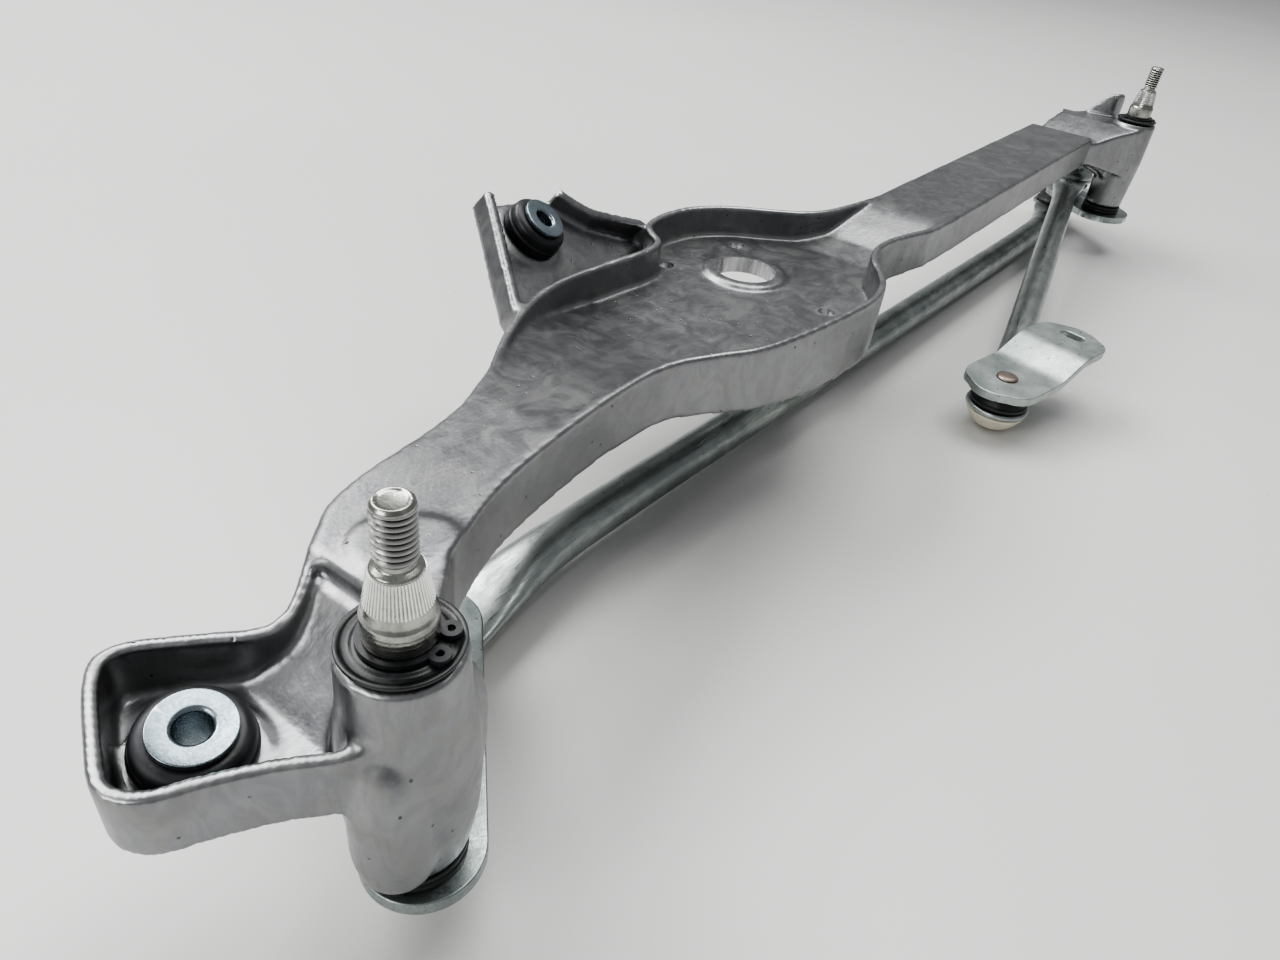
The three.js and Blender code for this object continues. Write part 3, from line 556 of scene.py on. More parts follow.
# %% [markdown]
# ### Rubber, plastic and black steel
# Moulded rubber is satin with a dusty bloom and faint mould lines. The cups are acetal, a creamy
# waxy plastic that lets a little light in. Washer and clip are spring steel with a black oiled
# phosphate coat, which wears to grey at the edges.

# %% Moulded and coated finishes
def moulded(name, slot, body, bloom, gloss, grain_mm, relief, **fixed):
    material, tree, shader, place = new_material(name, slot, 0.0, **fixed)
    dust = add(tree, "ShaderNodeTexNoise",
               {"Vector": place, "Scale": per_mm(7), "Detail": 5, "Roughness": 0.65}).outputs["Fac"]
    grain = add(tree, "ShaderNodeTexNoise",
                {"Vector": place, "Scale": per_mm(grain_mm), "Detail": 3}).outputs["Fac"]
    bend = add(tree, "ShaderNodeNewGeometry").outputs["Pointiness"]
    skin = coated(tree, linear(body),
                  [(dust, 0.42, 0.72, 0.7, bloom), (bend, 0.54, 0.66, 0.5, bloom)])
    dull = add(tree, "ShaderNodeMapRange", {VALUE: dust, FROM_MIN: 0.35, FROM_MAX: 0.7,
                                            TO_MIN: gloss - 0.08, TO_MAX: gloss + 0.14}).outputs[0]
    dressed(tree, shader, skin, dull, [(grain, relief, 0.5)])
    return material


BLACK_RUBBER = moulded("moulded_black_rubber", "black_rubber", "#121315", "#2b2d2f", 0.42, 0.8,
                       0.00008)
BLACK_STEEL = moulded("black_phosphated_steel", "black_steel", "#0f1011", "#35383a", 0.34, 0.5,
                      0.00004)
CREAM_ACETAL = moulded("cream_acetal", "cream_acetal", "#d8d3bf", "#c3bda5", 0.36, 1.5, 0.00005,
                       Subsurface_Weight=0.15, Subsurface_Scale=0.004)
print(nodes_in(BLACK_RUBBER, BLACK_STEEL, CREAM_ACETAL))

# %% [markdown]
# ## The aluminium casting
# Near tray, motor pan and far arm are one open channel: a wall of even thickness round a floor
# that steps up and down. Both barrels, the rear ear, the sloping neck and the far tray grow out of
# it. Modelling each fillet by hand would take hundreds of edges. Here each feature is a simple
# closed shell, all are fused into one skin with a voxel remesh, and smoothing rounds every inside
# corner, much as the die does.

# %% The channel's plan outline
def channel_outline():
    runs = [
        curve([[12, 4], [0, -6], [-14, -4], [-26, 5], [-36, 11.3], [-42.5, 14.9], [-46.2, 19.4],
               [-46.9, 24.5], [-43.3, 33.5], [-36, 47.5], [-32, 51.5], [-27, 51.3],
               [-14.5, 42]], 1.6),
        curve([[-9, 37], [-4, 34.6], [1, 35.8], [15, 45.5], [22, 50.5], [34.3, 54.2], [60, 57.5],
               [74, 60.5]]),
        curve([[93, 69], [115, 82.7], [138.7, 93.2], [157.7, 96.6], [185, 95], [205, 93.4],
               [214, 95.5], [219.5, 102.5], [226, 108.6], [240, 111.4], [256, 109.5],
               [268, 103.5], [277.5, 95.5], [287.5, 83.5], [298.2, 72.6], [308, 67.3],
               [325, 63.4], [347.6, 59.9]]),
        [Vector((588, 54.4)), Vector((588, 14.4))],
        curve([[347.6, 20.1], [328, 21.5], [313, 25.5], [299, 28.6], [284, 28.6], [272, 24.5],
               [261, 16.8], [250, 11.2], [237, 8.4], [222, 8.8], [186.2, 13.4], [166, 18.3],
               [152, 25.5], [138.7, 31.6], [126, 33.8], [91.2, 32.4], [53.2, 26.7], [30, 18]]),
    ]
    return evenly([point for run in runs for point in run], 2.5)


outline = channel_outline()
print("channel outline", len(outline), "points")

# %% The channel
RIM_LINE = [(-70, -15), (-6, -15), (0, -13.6), (8, -9.6), (14, -8), (600, -8)]
SKIRT_LINE = [(-70, -31.5), (-5, -31.5), (18, -29), (50, -28.5), (100, -28.5), (140, -29.5),
              (163, -31.5), (192, -34.5), (217, -35.5), (248, -34.5), (270, -33), (300, -28),
              (335, -25.5), (600, -25.5)]
FLOOR_LINE = [(-70, -28), (-13, -28), (-2, -21), (7, -12.5), (9.5, -12.5), (10.2, -8), (82, -8),
              *curve([(105, -9.6), (130, -14), (152, -19), (175, -21.5)], 4), (292, -21.5),
              *curve([(308, -19), (325, -13), (338, -9.3), (352, -8)], 3), (600, -8)]
NEAR_PAD = [[13, 21.5], [15, 34.5], [21, 38.5], [29, 36.5], [35, 29.5], [36, 22.5], [31, 19.5],
            [19, 18.5]]


def channel(mesh):
    wall(mesh, outline, lambda p: height_on(RIM_LINE, p.x), lambda p: height_on(SKIRT_LINE, p.x))
    cast_floor(mesh, inset(outline, 0.6), FLOOR_LINE)
    plate(mesh, curve(NEAR_PAD, 1.5, closed=True), -9, -7.1)


# %% [markdown]
# ### Barrels
# Each barrel holds two bushes. The near one swells in the middle, and two lobes run up its side
# where the die needed metal. They are turned shapes that overlap the barrel.

# %% Barrels
NEAR_BARREL = [(0, -60), (11.6, -60), (12.6, -56), (14.2, -46), (14.8, -34), (14.2, -22),
               (12.8, -12), (12.4, -1.2), (12, -0.5), (0, -0.5)]
FRONT_LOBE = [(0, -59.6), (4.8, -58.6), (8, -55), (9.3, -48), (9.2, -32), (6.4, -20), (0, -13)]
SIDE_LOBE = [(0, -52), (4, -48), (6, -34), (6, -20), (3, -12), (0, -10)]
FAR_BARREL = [(0, -55), (11.4, -55), (12.2, -40), (13, -25), (12.6, -1), (12.2, -0.5), (0, -0.5)]


def barrels(mesh):
    turned(mesh, NEAR_BARREL)
    turned(mesh, rounded(FRONT_LOBE, 3), (-8.4, -4.6, 0))
    turned(mesh, rounded(SIDE_LOBE, 3), (10.6, -3.2, 0))
    turned(mesh, FAR_BARREL, (FAR_AXIS, 0, 0))


print("the barrels are", -NEAR_BARREL[1][1], "and", -FAR_BARREL[1][1], "mm long")

# %% [markdown]
# ### The far end
# The arm slopes up into a neck that carries the far barrel. Beside it a small tray holds the
# third mounting point, with a front wall that rises in a hump, and two thin webs brace it below.

# %% Neck, far tray and webs
NECK = [[586, 50.5], [604, 49], [622, 45], [640, 36], [643, 14], [641, -6], [631, -11.5],
        [620, -8], [604, 4], [586, 15.8]]
NECK_TOP = [(580, -11.5), (590, -11.5),
            *curve([(594, -10.8), (604, -7.2), (618, -3)], 3), (660, -3)]
NECK_SKIRT = [(580, -25.5), (592, -25.5), (618, -33), (660, -33)]
FAR_TRAY = [[638, 24], [638, 44], [645, 53], [655, 56], [668, 51], [673, 38], [669, 24], [660, 17],
            [650, 14.5], [641, 17]]
HUMP = curve([(630, -2), (634, 7), (638, 10.5), (649, 10.5), (653, 6), (662, -8), (672, -15)], 1)
HUMP_FRONT, HUMP_BACK = 22, 45  # the hump falls to the rim again between these
FAR_RIM, FAR_FLOOR, FAR_SKIRT = -15, -27.2, -30
TRAY_ROOT = [[634, 16], [634, 44], [643, 50], [643, 16]]


def far_rim(point):
    share = min(max((HUMP_BACK - point.y) / (HUMP_BACK - HUMP_FRONT), 0), 1)
    return FAR_RIM + share * (max(height_on(HUMP, point.x), FAR_RIM) - FAR_RIM)


def web(mesh, x, y, turn, length, drop):
    edge = [(0, 0), (length, 0), (length, -drop)]
    for i in range(1, 9):
        t = i / 8
        edge.append((length * ((1 - t) ** 2 + 1.5 * t * (1 - t)),
                     -drop * (1 - t) ** 2 - 0.5 * drop * t * (1 - t) - 3 * t * t))
    stand = Matrix.Translation((x, y, -24)) @ Matrix.Rotation(math.radians(turn), 4, "Z")
    plate(mesh, edge, -2, 2, stand @ Matrix.Rotation(math.pi / 2, 4, "X"))


def far_end(mesh):
    neck = evenly([Vector(p) for p in NECK])
    wall(mesh, neck, lambda p: height_on(NECK_TOP, p.x), lambda p: height_on(NECK_SKIRT, p.x))
    cast_floor(mesh, inset(neck, 0.6), NECK_TOP)
    tray = curve(FAR_TRAY, 1.2, closed=True)
    wall(mesh, tray, far_rim, lambda p: FAR_SKIRT)
    plate(mesh, inset(tray, 0.6), FAR_FLOOR, -24)
    plate(mesh, TRAY_ROOT, FAR_FLOOR, -5)
    web(mesh, 594, 17, -24, 38, 24)
    web(mesh, 596, 40, -48, 50, 22)


print("the hump rises", round(max(p.y for p in HUMP) - FAR_RIM, 1), "mm over the far tray's rim")

# %% [markdown]
# ### The rear ear
# A sloping plate stands on the back of the pan between a straight wall and a wall with an S bend.
# It is drawn lying flat, then leaned and turned into place, and what would stand inside the pan
# is cut off.

# %% Mounting points
mounts = {mount["name"]: mount for mount in frame["record"]["mounts"]}
SEATS = {"near": 2.6, "rear": 1.2, "far": 0.0}  # height of the cast ring the rubber sits on
FLANGE_TOP = 9.8  # from the cast seat to the sleeve's top face


def mount_place(label):
    """The floor of a mounting point: origin on the casting, Z along the screw."""
    mount = mounts[label + "_mount_face"]
    up = Vector(mount["axis"]).normalized()
    side = Vector((-up.y, up.x, 0)).normalized() if label == "rear" else Vector((1, 0, 0))
    centre = Vector(mount["pos_m"]) * 1000 - 5.7 * side
    centre.z -= seat_height
    centre -= up * (FLANGE_TOP + SEATS[label])
    turn = Matrix((side, up.cross(side), up)).transposed().to_4x4()
    return Matrix.Translation(centre) @ turn


places = {label: mount_place(label) for label in SEATS}
print({label: [round(v, 1) for v in place.translation] for label, place in places.items()})

# %% The ear
EAR_PLATE = [[-10, 17.5], [22, 9.5], [24.5, 8], [28, 2], [33, -7], [45, -15], [62, -24], [64, -38],
             [-60, -38]]
EAR_STRAIGHT = [[-6.5, 18], [-10.5, 20], [-61, -36], [-57, -38.5]]
EAR_BENT = [[23.5, 6], [27.5, 6.5], [31, 0.5], [36.5, -6.5], [47, -13], [62, -21.5], [66, -30],
            [60, -30], [59, -25], [45, -16.5], [34, -9.5], [28, -2]]
EAR_ROOM = [[126, 60], [260, 60], [260, 175], [126, 175]]
EAR_THICK = 3.2
CAST_VOXEL = 0.00095  # metres: fine enough for a 3 mm wall


def ear():
    mesh = bmesh.new()
    stand = places["rear"]
    for shape, top in ((EAR_PLATE, 0), (EAR_STRAIGHT, 6.5), (EAR_BENT, 8)):
        plate(mesh, shape, -EAR_THICK, top, stand)
    seat = SEATS["rear"]
    turned(mesh, [(0, -EAR_THICK), (13.4, -EAR_THICK), (13.4, seat), (0, seat)], stand)
    piece = modify(put("ear", mesh), "REMESH", mode="VOXEL", voxel_size=CAST_VOXEL)
    room, pan = bmesh.new(), bmesh.new()
    plate(room, EAR_ROOM, -35, 40)
    plate(pan, inset(outline, 2.6), -100, 100)
    cut(piece, put("room", room), "INTERSECT")
    return cut(piece, put("pan", pan))


print("the ear's walls have", len(EAR_STRAIGHT), "and", len(EAR_BENT), "corners")

# %% [markdown]
# ### Fusing and drilling
# The fused skin is drilled last, so the bores stay crisp while every cast edge is soft. The holes
# are the motor's, its three screws, both barrel bores and a stepped hole for each grommet.

# %% Cast, then drill
MOTOR, MOTOR_HOLE = (243, 68.5), 12.6
SCREWS, SCREW_HOLE = [(224.5, 95.3), (267.3, 87), (237, 27.4)], 3.3
BORE = 8.4
THROUGH = 200  # a drill goes this far up and down, right through everything
MOST_TRIANGLES = 186000


def drill(mesh, x, y, radius, sides=48):
    profile = [(0, -THROUGH), (radius, -THROUGH), (radius, THROUGH), (0, THROUGH)]
    turned(mesh, profile, (x, y, 0), sides)


def casting():
    mesh = bmesh.new()
    channel(mesh)
    barrels(mesh)
    far_end(mesh)
    turned(mesh, [(0, -26.2), (16.8, -26.2), (16.8, -19.6), (0, -19.6)], (*MOTOR, 0), 96)
    seat = SEATS["near"]
    turned(mesh, [(0, -3.2), (13.2, -3.2), (13.2, seat), (0, seat)], places["near"])
    lug = ear()
    lug.data.transform(TO_ROW.inverted())
    mesh.from_mesh(lug.data)
    bpy.data.objects.remove(lug)
    piece = fuse(put("cast_frame", mesh), CAST_VOXEL, 6)
    share = MOST_TRIANGLES / (2 * len(piece.data.polygons))
    modify(piece, "DECIMATE", ratio=min(share, 1))
    holes = bmesh.new()
    for x, y, radius in ((0, 0, BORE), (FAR_AXIS, 0, BORE), (*MOTOR, MOTOR_HOLE)):
        drill(holes, x, y, radius, 96)
    for x, y in SCREWS:
        drill(holes, x, y, SCREW_HOLE)
    for label, seat in SEATS.items():
        room = [(0, -14), (12, -14), (12, -3.2), (8.6, -3.2), (8.6, seat), (12, seat), (12, 12),
                (0, 12)]
        turned(holes, room, places[label])
    return cut(piece, put("holes", holes))


cast = finish(casting(), "frame", CAST_ALUMINIUM, ["frame"], sharp=48)

# %% [markdown]
# ## Mounting grommets
# A rubber grommet snaps into each stepped hole, and a flanged steel sleeve goes through it so the
# screw can be tightened without crushing the rubber. Both are turned shapes with rolled edges.

# %% Grommets and sleeves
def grommet(label):
    seat, low = SEATS[label] + 0.3, -3.5
    profile = [(5.4, low - 4), (9.4, low - 4), (10.4, low - 2.5), (10.4, low), (8.3, low),
               (8.3, seat), (11.4, seat), (11.4, seat + 3), (10.9, seat + 3.5), (11, seat + 4.3),
               (10.6, seat + 6.5), (9, seat + 7.6), (5.4, seat + 7.6)]
    turned_piece(label + "_rubber_grommet", rounded(profile, 0.9, closed=True, steps=4),
                 places[label], "frame", BLACK_RUBBER, label + "_grommet", sides=72)


def sleeve(label):
    top, low = SEATS[label] + 8.2, -7.5
    profile = [(3.4, low), (5.1, low), (5.1, top), (8, top), (8, top + 1.6), (4.1, top + 1.6),
               (3.4, top + 0.9)]
    turned_piece(label + "_steel_sleeve", rounded(profile, 0.35, closed=True), places[label],
                 "frame", SLEEVE_ZINC, label + "_sleeve", sides=72)


for label in SEATS:
    grommet(label)
    sleeve(label)

# %% [markdown]
# ## Spindles
# Each spindle is turned from bar: a peened foot, a shaft in the bushes, a groove for the circlip,
# a taper that the wiper arm grips and an M8 end. The body is one turned profile. The thread and
# the knurl repeat, so they are Geometry Nodes.

# %% Turned spindle
SIDES = {"near": (Vector((0, 0, 0)), -60), "far": (Vector((FAR_AXIS, 0, 0)), -55)}
LEVER_THICK = 4


def spindle(side, at, barrel_end):
    top = barrel_end - 4.4  # the lever's top face
    low = top - LEVER_THICK
    profile = [(0, low - 1.6), (6.6, low - 1.6), (7, low - 0.3), (5, low - 0.3), (5, top + 0.3),
               (6, top + 0.3), (6, 1.6), (5.5, 1.6), (5.5, 2.9), (7, 2.9), (7.1, 8.5), (6.5, 9.6),
               (4.75, 19), (3.4, 19.7), (3.4, 20.6), (3.2, 21), (3.2, 31.4), (3.9, 31.8),
               (3.9, 32.3), (3.3, 33), (2.9, 33), (2.4, 32.72), (0, 32.6)]
    turned_piece(side + "_turned_spindle", rounded(profile, 0.35), at, side + "_spindle",
                 BRIGHT_STEEL, side + "_spindle", sharp=50, sides=96, closed=False)


for side, (at, barrel_end) in SIDES.items():
    spindle(side, at, barrel_end)

# %% [markdown]
# ### Thread and knurl
# The thread is a spiral with a diamond section swept along it, at M8's real pitch of 1.25 mm.
# The knurl is one ridge copied round the taper. Both trees end in Realize Instances and Set
# Material, and become plain meshes.

# %% Trees with named inputs
SOCKET_KINDS = {float: "NodeSocketFloat", int: "NodeSocketInt", tuple: "NodeSocketVector"}


def new_tree(name, inputs):
    """A Geometry Nodes tree whose inputs are given as name: default."""
    tree = bpy.data.node_groups.new(name, "GeometryNodeTree")
    tree.interface.new_socket("Geometry", in_out="OUTPUT", socket_type="NodeSocketGeometry")
    for label, value in inputs.items():
        kind = SOCKET_KINDS[type(value)]
        tree.interface.new_socket(label, in_out="INPUT", socket_type=kind).default_value = value
    print(name, "takes", *inputs)
    return tree, tree.nodes.new("NodeGroupInput").outputs


def end_tree(tree, geometry, material):
    real = add(tree, "GeometryNodeRealizeInstances", {0: geometry}).outputs[0]
    finished_mesh = add(tree, "GeometryNodeSetMaterial", {"Geometry": real, "Material": material})
    add(tree, "NodeGroupOutput", {0: finished_mesh.outputs[0]})


def grown(name, tree, values):
    """The mesh that a tree makes with the given input values."""
    piece = bpy.data.objects.new(name, bpy.data.meshes.new(name))
    bpy.context.scene.collection.objects.link(piece)
    modifier = piece.modifiers.new("grow", "NODES")
    modifier.node_group = tree
    for item in tree.interface.items_tree:
        if item.in_out == "INPUT" and item.name in values:
            modifier[item.identifier] = values[item.name]
    return settle(piece)


print("a tree's inputs can be", *(kind.__name__ for kind in SOCKET_KINDS))

# %% The thread tree
def thread_tree():
    sizes = {"Turns": 9.0, "Radius": 0.0033, "Length": 0.011, "Tooth": 0.0012,
             "Depth": 0.00072, "Place": (0.0, 0.0, 0.0)}
    tree, given = new_tree("cut_thread", sizes)
    spiral = add(tree, "GeometryNodeCurveSpiral",
                 {"Resolution": 40, "Rotations": given["Turns"], "Start Radius": given["Radius"],
                  "End Radius": given["Radius"], "Height": given["Length"], "Reverse": False})
    upright = add(tree, "GeometryNodeSetCurveNormal", {"Curve": spiral.outputs[0]}, mode="Z_UP")
    half, wide = (
        add(tree, "ShaderNodeMath", {0: given[size], 1: by}, operation="MULTIPLY").outputs[0]
        for size, by in (("Tooth", 0.5), ("Depth", 2.0))
    )
    tooth = add(tree, "GeometryNodeCurvePrimitiveQuadrilateral",
                {"Width": wide, "Bottom Height": half, "Top Height": half}, mode="KITE")
    swept = add(tree, "GeometryNodeCurveToMesh",
                {"Curve": upright.outputs[0], "Profile Curve": tooth.outputs[0], "Fill Caps": True})
    position = add(tree, "GeometryNodeInputPosition").outputs[0]
    spot = add(tree, "ShaderNodeSeparateXYZ", {0: position})
    flat = add(tree, "ShaderNodeCombineXYZ", {"X": spot.outputs["X"], "Y": spot.outputs["Y"]})
    reach = add(tree, "ShaderNodeVectorMath", {0: flat.outputs[0]}, operation="LENGTH")
    crest_at = add(tree, "ShaderNodeMath", {0: given["Radius"], 1: given["Depth"]}, operation="ADD")
    crest = add(tree, "ShaderNodeMapRange", {VALUE: reach.outputs["Value"],
                                             FROM_MIN: given["Radius"],
                                             FROM_MAX: crest_at.outputs[0]}).outputs[0]
    marked = add(tree, "GeometryNodeStoreNamedAttribute",
                 {"Geometry": swept.outputs[0], "Name": "crest", "Value": crest},
                 data_type="FLOAT", domain="POINT")
    placed = add(tree, "GeometryNodeTransform",
                 {"Geometry": marked.outputs[0], "Translation": given["Place"]})
    end_tree(tree, placed.outputs[0], THREAD_STEEL)
    return tree


THREAD = thread_tree()

# %% The knurl tree
def knurl_tree():
    sizes = {"Ridges": 54, "Width": 0.00036, "Length": 0.0072, "Lean": -0.18,
             "Ridge Place": (0.00545, 0.0, 0.0), "Place": (0.0, 0.0, 0.0)}
    tree, given = new_tree("rolled_knurl", sizes)
    size = add(tree, "ShaderNodeCombineXYZ",
               {"X": given["Width"], "Y": given["Width"], "Z": given["Length"]})
    bar = add(tree, "GeometryNodeMeshCube", {"Size": size.outputs[0]})
    edge_out = add(tree, "GeometryNodeTransform",
                   {"Geometry": bar.outputs[0], "Rotation": (0, 0, math.pi / 4)})
    lean = add(tree, "ShaderNodeCombineXYZ", {"Y": given["Lean"]})
    ridge = add(tree, "GeometryNodeTransform",
                {"Geometry": edge_out.outputs[0], "Rotation": lean.outputs[0],
                 "Translation": given["Ridge Place"]})
    points = add(tree, "GeometryNodePoints", {"Count": given["Ridges"]})
    number = add(tree, "GeometryNodeInputIndex").outputs[0]
    share = add(tree, "ShaderNodeMath", {0: number, 1: given["Ridges"]}, operation="DIVIDE")
    angle = add(tree, "ShaderNodeMath", {0: share.outputs[0], 1: 2 * math.pi},
                operation="MULTIPLY")
    turn = add(tree, "ShaderNodeCombineXYZ", {"Z": angle.outputs[0]})
    copies = add(tree, "GeometryNodeInstanceOnPoints",
                 {"Points": points.outputs[0], "Instance": ridge.outputs[0],
                  "Rotation": turn.outputs[0]})
    placed = add(tree, "GeometryNodeTransform",
                 {"Geometry": copies.outputs[0], "Translation": given["Place"]})
    end_tree(tree, placed.outputs[0], BRIGHT_STEEL)
    return tree


KNURL = knurl_tree()

# %% Thread and knurl on both spindles
GROWTHS = (("cut_thread", THREAD, THREAD_STEEL, 21.2, {"Length": 0.0106, "Turns": 8.5}),
           ("rolled_knurl", KNURL, BRIGHT_STEEL, 14.9, {}))
for side, (at, barrel_end) in SIDES.items():
    for label, tree, material, height, values in GROWTHS:
        spot = tuple(TO_ROW @ (at + Vector((0, 0, height))))
        growth = grown(f"{side}_{label}", tree, {"Place": spot, **values})
        finish(growth, side + "_spindle", material, [side + "_spindle"], 30)

# %% [markdown]
# ## Washers, clips and seals
# A dished washer and an open circlip hold each spindle up. The clip is a short prism with a gap
# and two eyes for the pliers. A seal lies between the barrel and the lever.

# %% Clip outline
GAP_AT = -62  # degrees round the spindle


def clip_outline():
    gap, half = math.radians(GAP_AT), math.radians(15)
    outer = [gap + half + i * (2 * math.pi - 2 * half) / 60 for i in range(61)]
    ring = [(8.2 * math.cos(a), 8.2 * math.sin(a)) for a in outer]
    return ring + [(5.8 * math.cos(a), 5.8 * math.sin(a)) for a in reversed(outer)]


print("clip outline", len(clip_outline()), "points")

# %% Washers, clips and seals
def circlip(side, at):
    mesh = bmesh.new()
    plate(mesh, clip_outline(), 1.75, 2.75, Matrix.Translation(at))
    for offset in (-21, 21):
        angle = math.radians(GAP_AT + offset)
        eye = at + 8.8 * Vector((math.cos(angle), math.sin(angle), 0))
        turned(mesh, [(0.85, 1.75), (2.1, 1.75), (2.1, 2.8), (0.85, 2.8)], eye, 24, closed=True)
    finish(put(side + "_open_circlip", mesh), side + "_spindle", BLACK_STEEL,
           [side + "_circlip"], 40)


def washer_and_seal(side, at, barrel_end):
    washer = [(6.4, 0.35), (11.6, 0.35), (12, 0.7), (12, 1.45), (11.2, 1.45), (10.6, 0.95),
              (9.4, 0.95), (8.6, 1.4), (6.4, 1.4)]
    turned_piece(side + "_dished_washer", rounded(washer, 0.3, closed=True), at, "frame",
                 BLACK_STEEL, side + "_top_washer", sides=96)
    low, high = barrel_end - 4.1, barrel_end - 0.3
    seal = [(6.3, low), (11.8, low), (11.8, low + 1.3), (11.2, low + 1.7), (11.2, low + 2.1),
            (11.8, low + 2.5), (11.8, high), (6.3, high)]
    turned_piece(side + "_lever_seal", rounded(seal, 0.4, closed=True), at, "frame",
                 BLACK_RUBBER, side + "_lower_seal", sides=72)


for side, (at, barrel_end) in SIDES.items():
    circlip(side, at)
    washer_and_seal(side, at, barrel_end)

# %% [markdown]
# ## Levers
# A lever is blanked from 4 mm plate: round lobes joined by straight sides. The outline is the hull
# of its circles round the hub, the holes are cut through, and a small bevel is the rolled edge
# that blanking leaves on one side.

# %% Levers
PRESS_RADIUS = 0.0005  # metres: the edge that blanking rolls over
STUD_HOLE = 4.3


def hull_of(discs):
    """The outline round two discs (x, y, r), counter-clockwise."""
    (ax, ay, ar), (bx, by, br) = discs
    heading = math.atan2(by - ay, bx - ax)
    lean = math.acos((ar - br) / math.hypot(bx - ax, by - ay))
    made = []
    for x, y, r, start, end in ((bx, by, br, heading - lean, heading + lean),
                                (ax, ay, ar, heading + lean, heading + 2 * math.pi - lean)):
        for i in range(33):
            angle = start + (end - start) * i / 32
            made.append((x + r * math.cos(angle), y + r * math.sin(angle)))
    return made


def roll_edges(piece, angle):
    modify(piece, "BEVEL", width=PRESS_RADIUS, segments=3, limit_method="ANGLE",
           angle_limit=math.radians(angle))


def lever(side, hub, lobes):
    """The hub is (x, y, r) from the spindle, and each lobe is (ball, r)."""
    at, barrel_end = SIDES[side]
    top, blank, holes = barrel_end - 4.4, None, bmesh.new()
    drill(holes, at.x, at.y, 5.3)
    for ball, radius in lobes:
        mesh = bmesh.new()
        lobe = (ball.x - at.x, ball.y - at.y, radius)
        plate(mesh, hull_of([hub, lobe]), top - LEVER_THICK, top, Matrix.Translation(at))
        shape = put(side + "_pressed_lever", mesh)
        blank = shape if blank is None else cut(blank, shape, "UNION")
        drill(holes, ball.x, ball.y, STUD_HOLE)
    cut(blank, put("holes", holes))
    roll_edges(blank, 40)
    finish(blank, side + "_spindle", LEVER_ZINC, [side + "_lever"], plain_faces=True)


lever("near", (1.2, -1.2, 14.4), [(NEAR_BALL, 15.6)])
lever("far", (0, 0, 18.5), [(DRIVE_BALL, 13), (FAR_BALL, 13)])

# %% [markdown]
# ## Ball joints
# Each joint is a riveted stud with a ball, an acetal cup that snaps over it, and a rubber boot
# that keeps the grease in. All three are turned. One recipe places them under or over a plate.

# %% Studs, cups and boots
BALL = 6.5
STUD_HEAD = [(3.9, -1.5), (3.7, -1.5), (5.5, -1.5), (5.5, -0.3), (4, -0.3), (4, 4.3), (4.9, 4.3),
             (4.85, 4.6), (4.3, 5.15), (3, 5.4), (1.2, 5.5), (0, 5.5)]


def ball_stud(reach):
    shoulder = 0.93  # the ball ends this far above its middle, in radians
    angles = [-math.pi / 2 + i / 14 * (math.pi / 2 + shoulder) for i in range(15)]
    ball = [(BALL * math.cos(a), -reach + BALL * math.sin(a)) for a in angles]
    return ball + rounded(STUD_HEAD, 0.2)[1:]


def ball_cup(reach, play):
    z, cavity = -reach, 6.8 + play
    waist, skirt = 10 + 0.7 * play, 13.2 + 0.4 * play
    outside = [(0, z - 9), (7, z - 9), (9, z - 8.2), (11.2, z - 5.4), (skirt, z - 2.2),
               (skirt, z - 1.2), (waist, z - 1.2), (waist, z + 2)]
    mouth = math.asin(2 / cavity)
    inside = []
    for i in range(12):
        angle = mouth - (mouth + math.pi / 2) * i / 12
        inside.append((cavity * math.cos(angle), z + max(cavity * math.sin(angle), -6.8)))
    return [*rounded(outside, 0.7)[:-1], (waist, z + 2), *inside, (0, z - 6.8)]


def ball_boot(reach, play):
    low = -reach + 2.3
    inner, outer = 6.2 + play, 13 + 0.4 * play
    middle = low + (reach - 3) * 0.6
    profile = [(outer - 2.4, low), (outer, low), (outer, low + 1.6), (outer - 0.9, low + 2.1),
               (outer - 2, middle), (inner + 2, -0.7), (inner, -0.7), (inner, -2.2),
               (outer - 2.4, low + 1.4)]
    return rounded(profile, 0.8, closed=True, steps=4)


def ball_joint(stud, cup, ball, plate_height, bodies, play=0.0, up=False, head=LEVER_ZINC):
    """A joint under a plate, or over it with up. The bodies are the stud's and the rod's."""
    reach = abs(ball.z - plate_height)
    place = Matrix.Translation((ball.x, ball.y, plate_height))
    place = place @ Matrix.Rotation(math.pi, 4, "X") if up else place
    boot = cup.replace("cup", "boot")
    turned_piece(stud + "_riveted", ball_stud(reach), place, bodies[0], head, stud, 50,
                 closed=False)
    turned_piece(cup + "_moulded", ball_cup(reach, play), place, bodies[1], CREAM_ACETAL, cup, 50,
                 closed=False)
    turned_piece(boot + "_moulded", ball_boot(reach, play), place, bodies[1], BLACK_RUBBER, boot)


print("the ball is", 2 * BALL, "mm across")

# %% Four ball joints
FAR_PLAY = 2.9  # the long rod's far cup is wide, because the loop of the linkage is opened there
ball_joint("near_ball_stud", "long_rod_near_cup", NEAR_BALL, -68.4, ("near_spindle", "long_rod"))
ball_joint("far_ball_stud", "long_rod_far_cup", FAR_BALL, -63.4, ("far_spindle", "long_rod"),
           play=FAR_PLAY)
ball_joint("drive_ball_stud", "drive_rod_far_cup", DRIVE_BALL, -59.4,
           ("far_spindle", "drive_rod"), up=True)
ball_joint("crank_ball_stud", "drive_rod_motor_cup", CRANK_BALL, -65,
           ("motor_crank", "drive_rod"), head=COPPERY_RIVET)

# %% [markdown]
# ## Rods
# A rod starts as round tube. Both ends are flattened in a press and pierced, so each end goes from
# a circle to a wide flat oval and ends in an eye. Sections are lofted along a smooth path, fused
# with the eyes, and then the eyes are pierced.

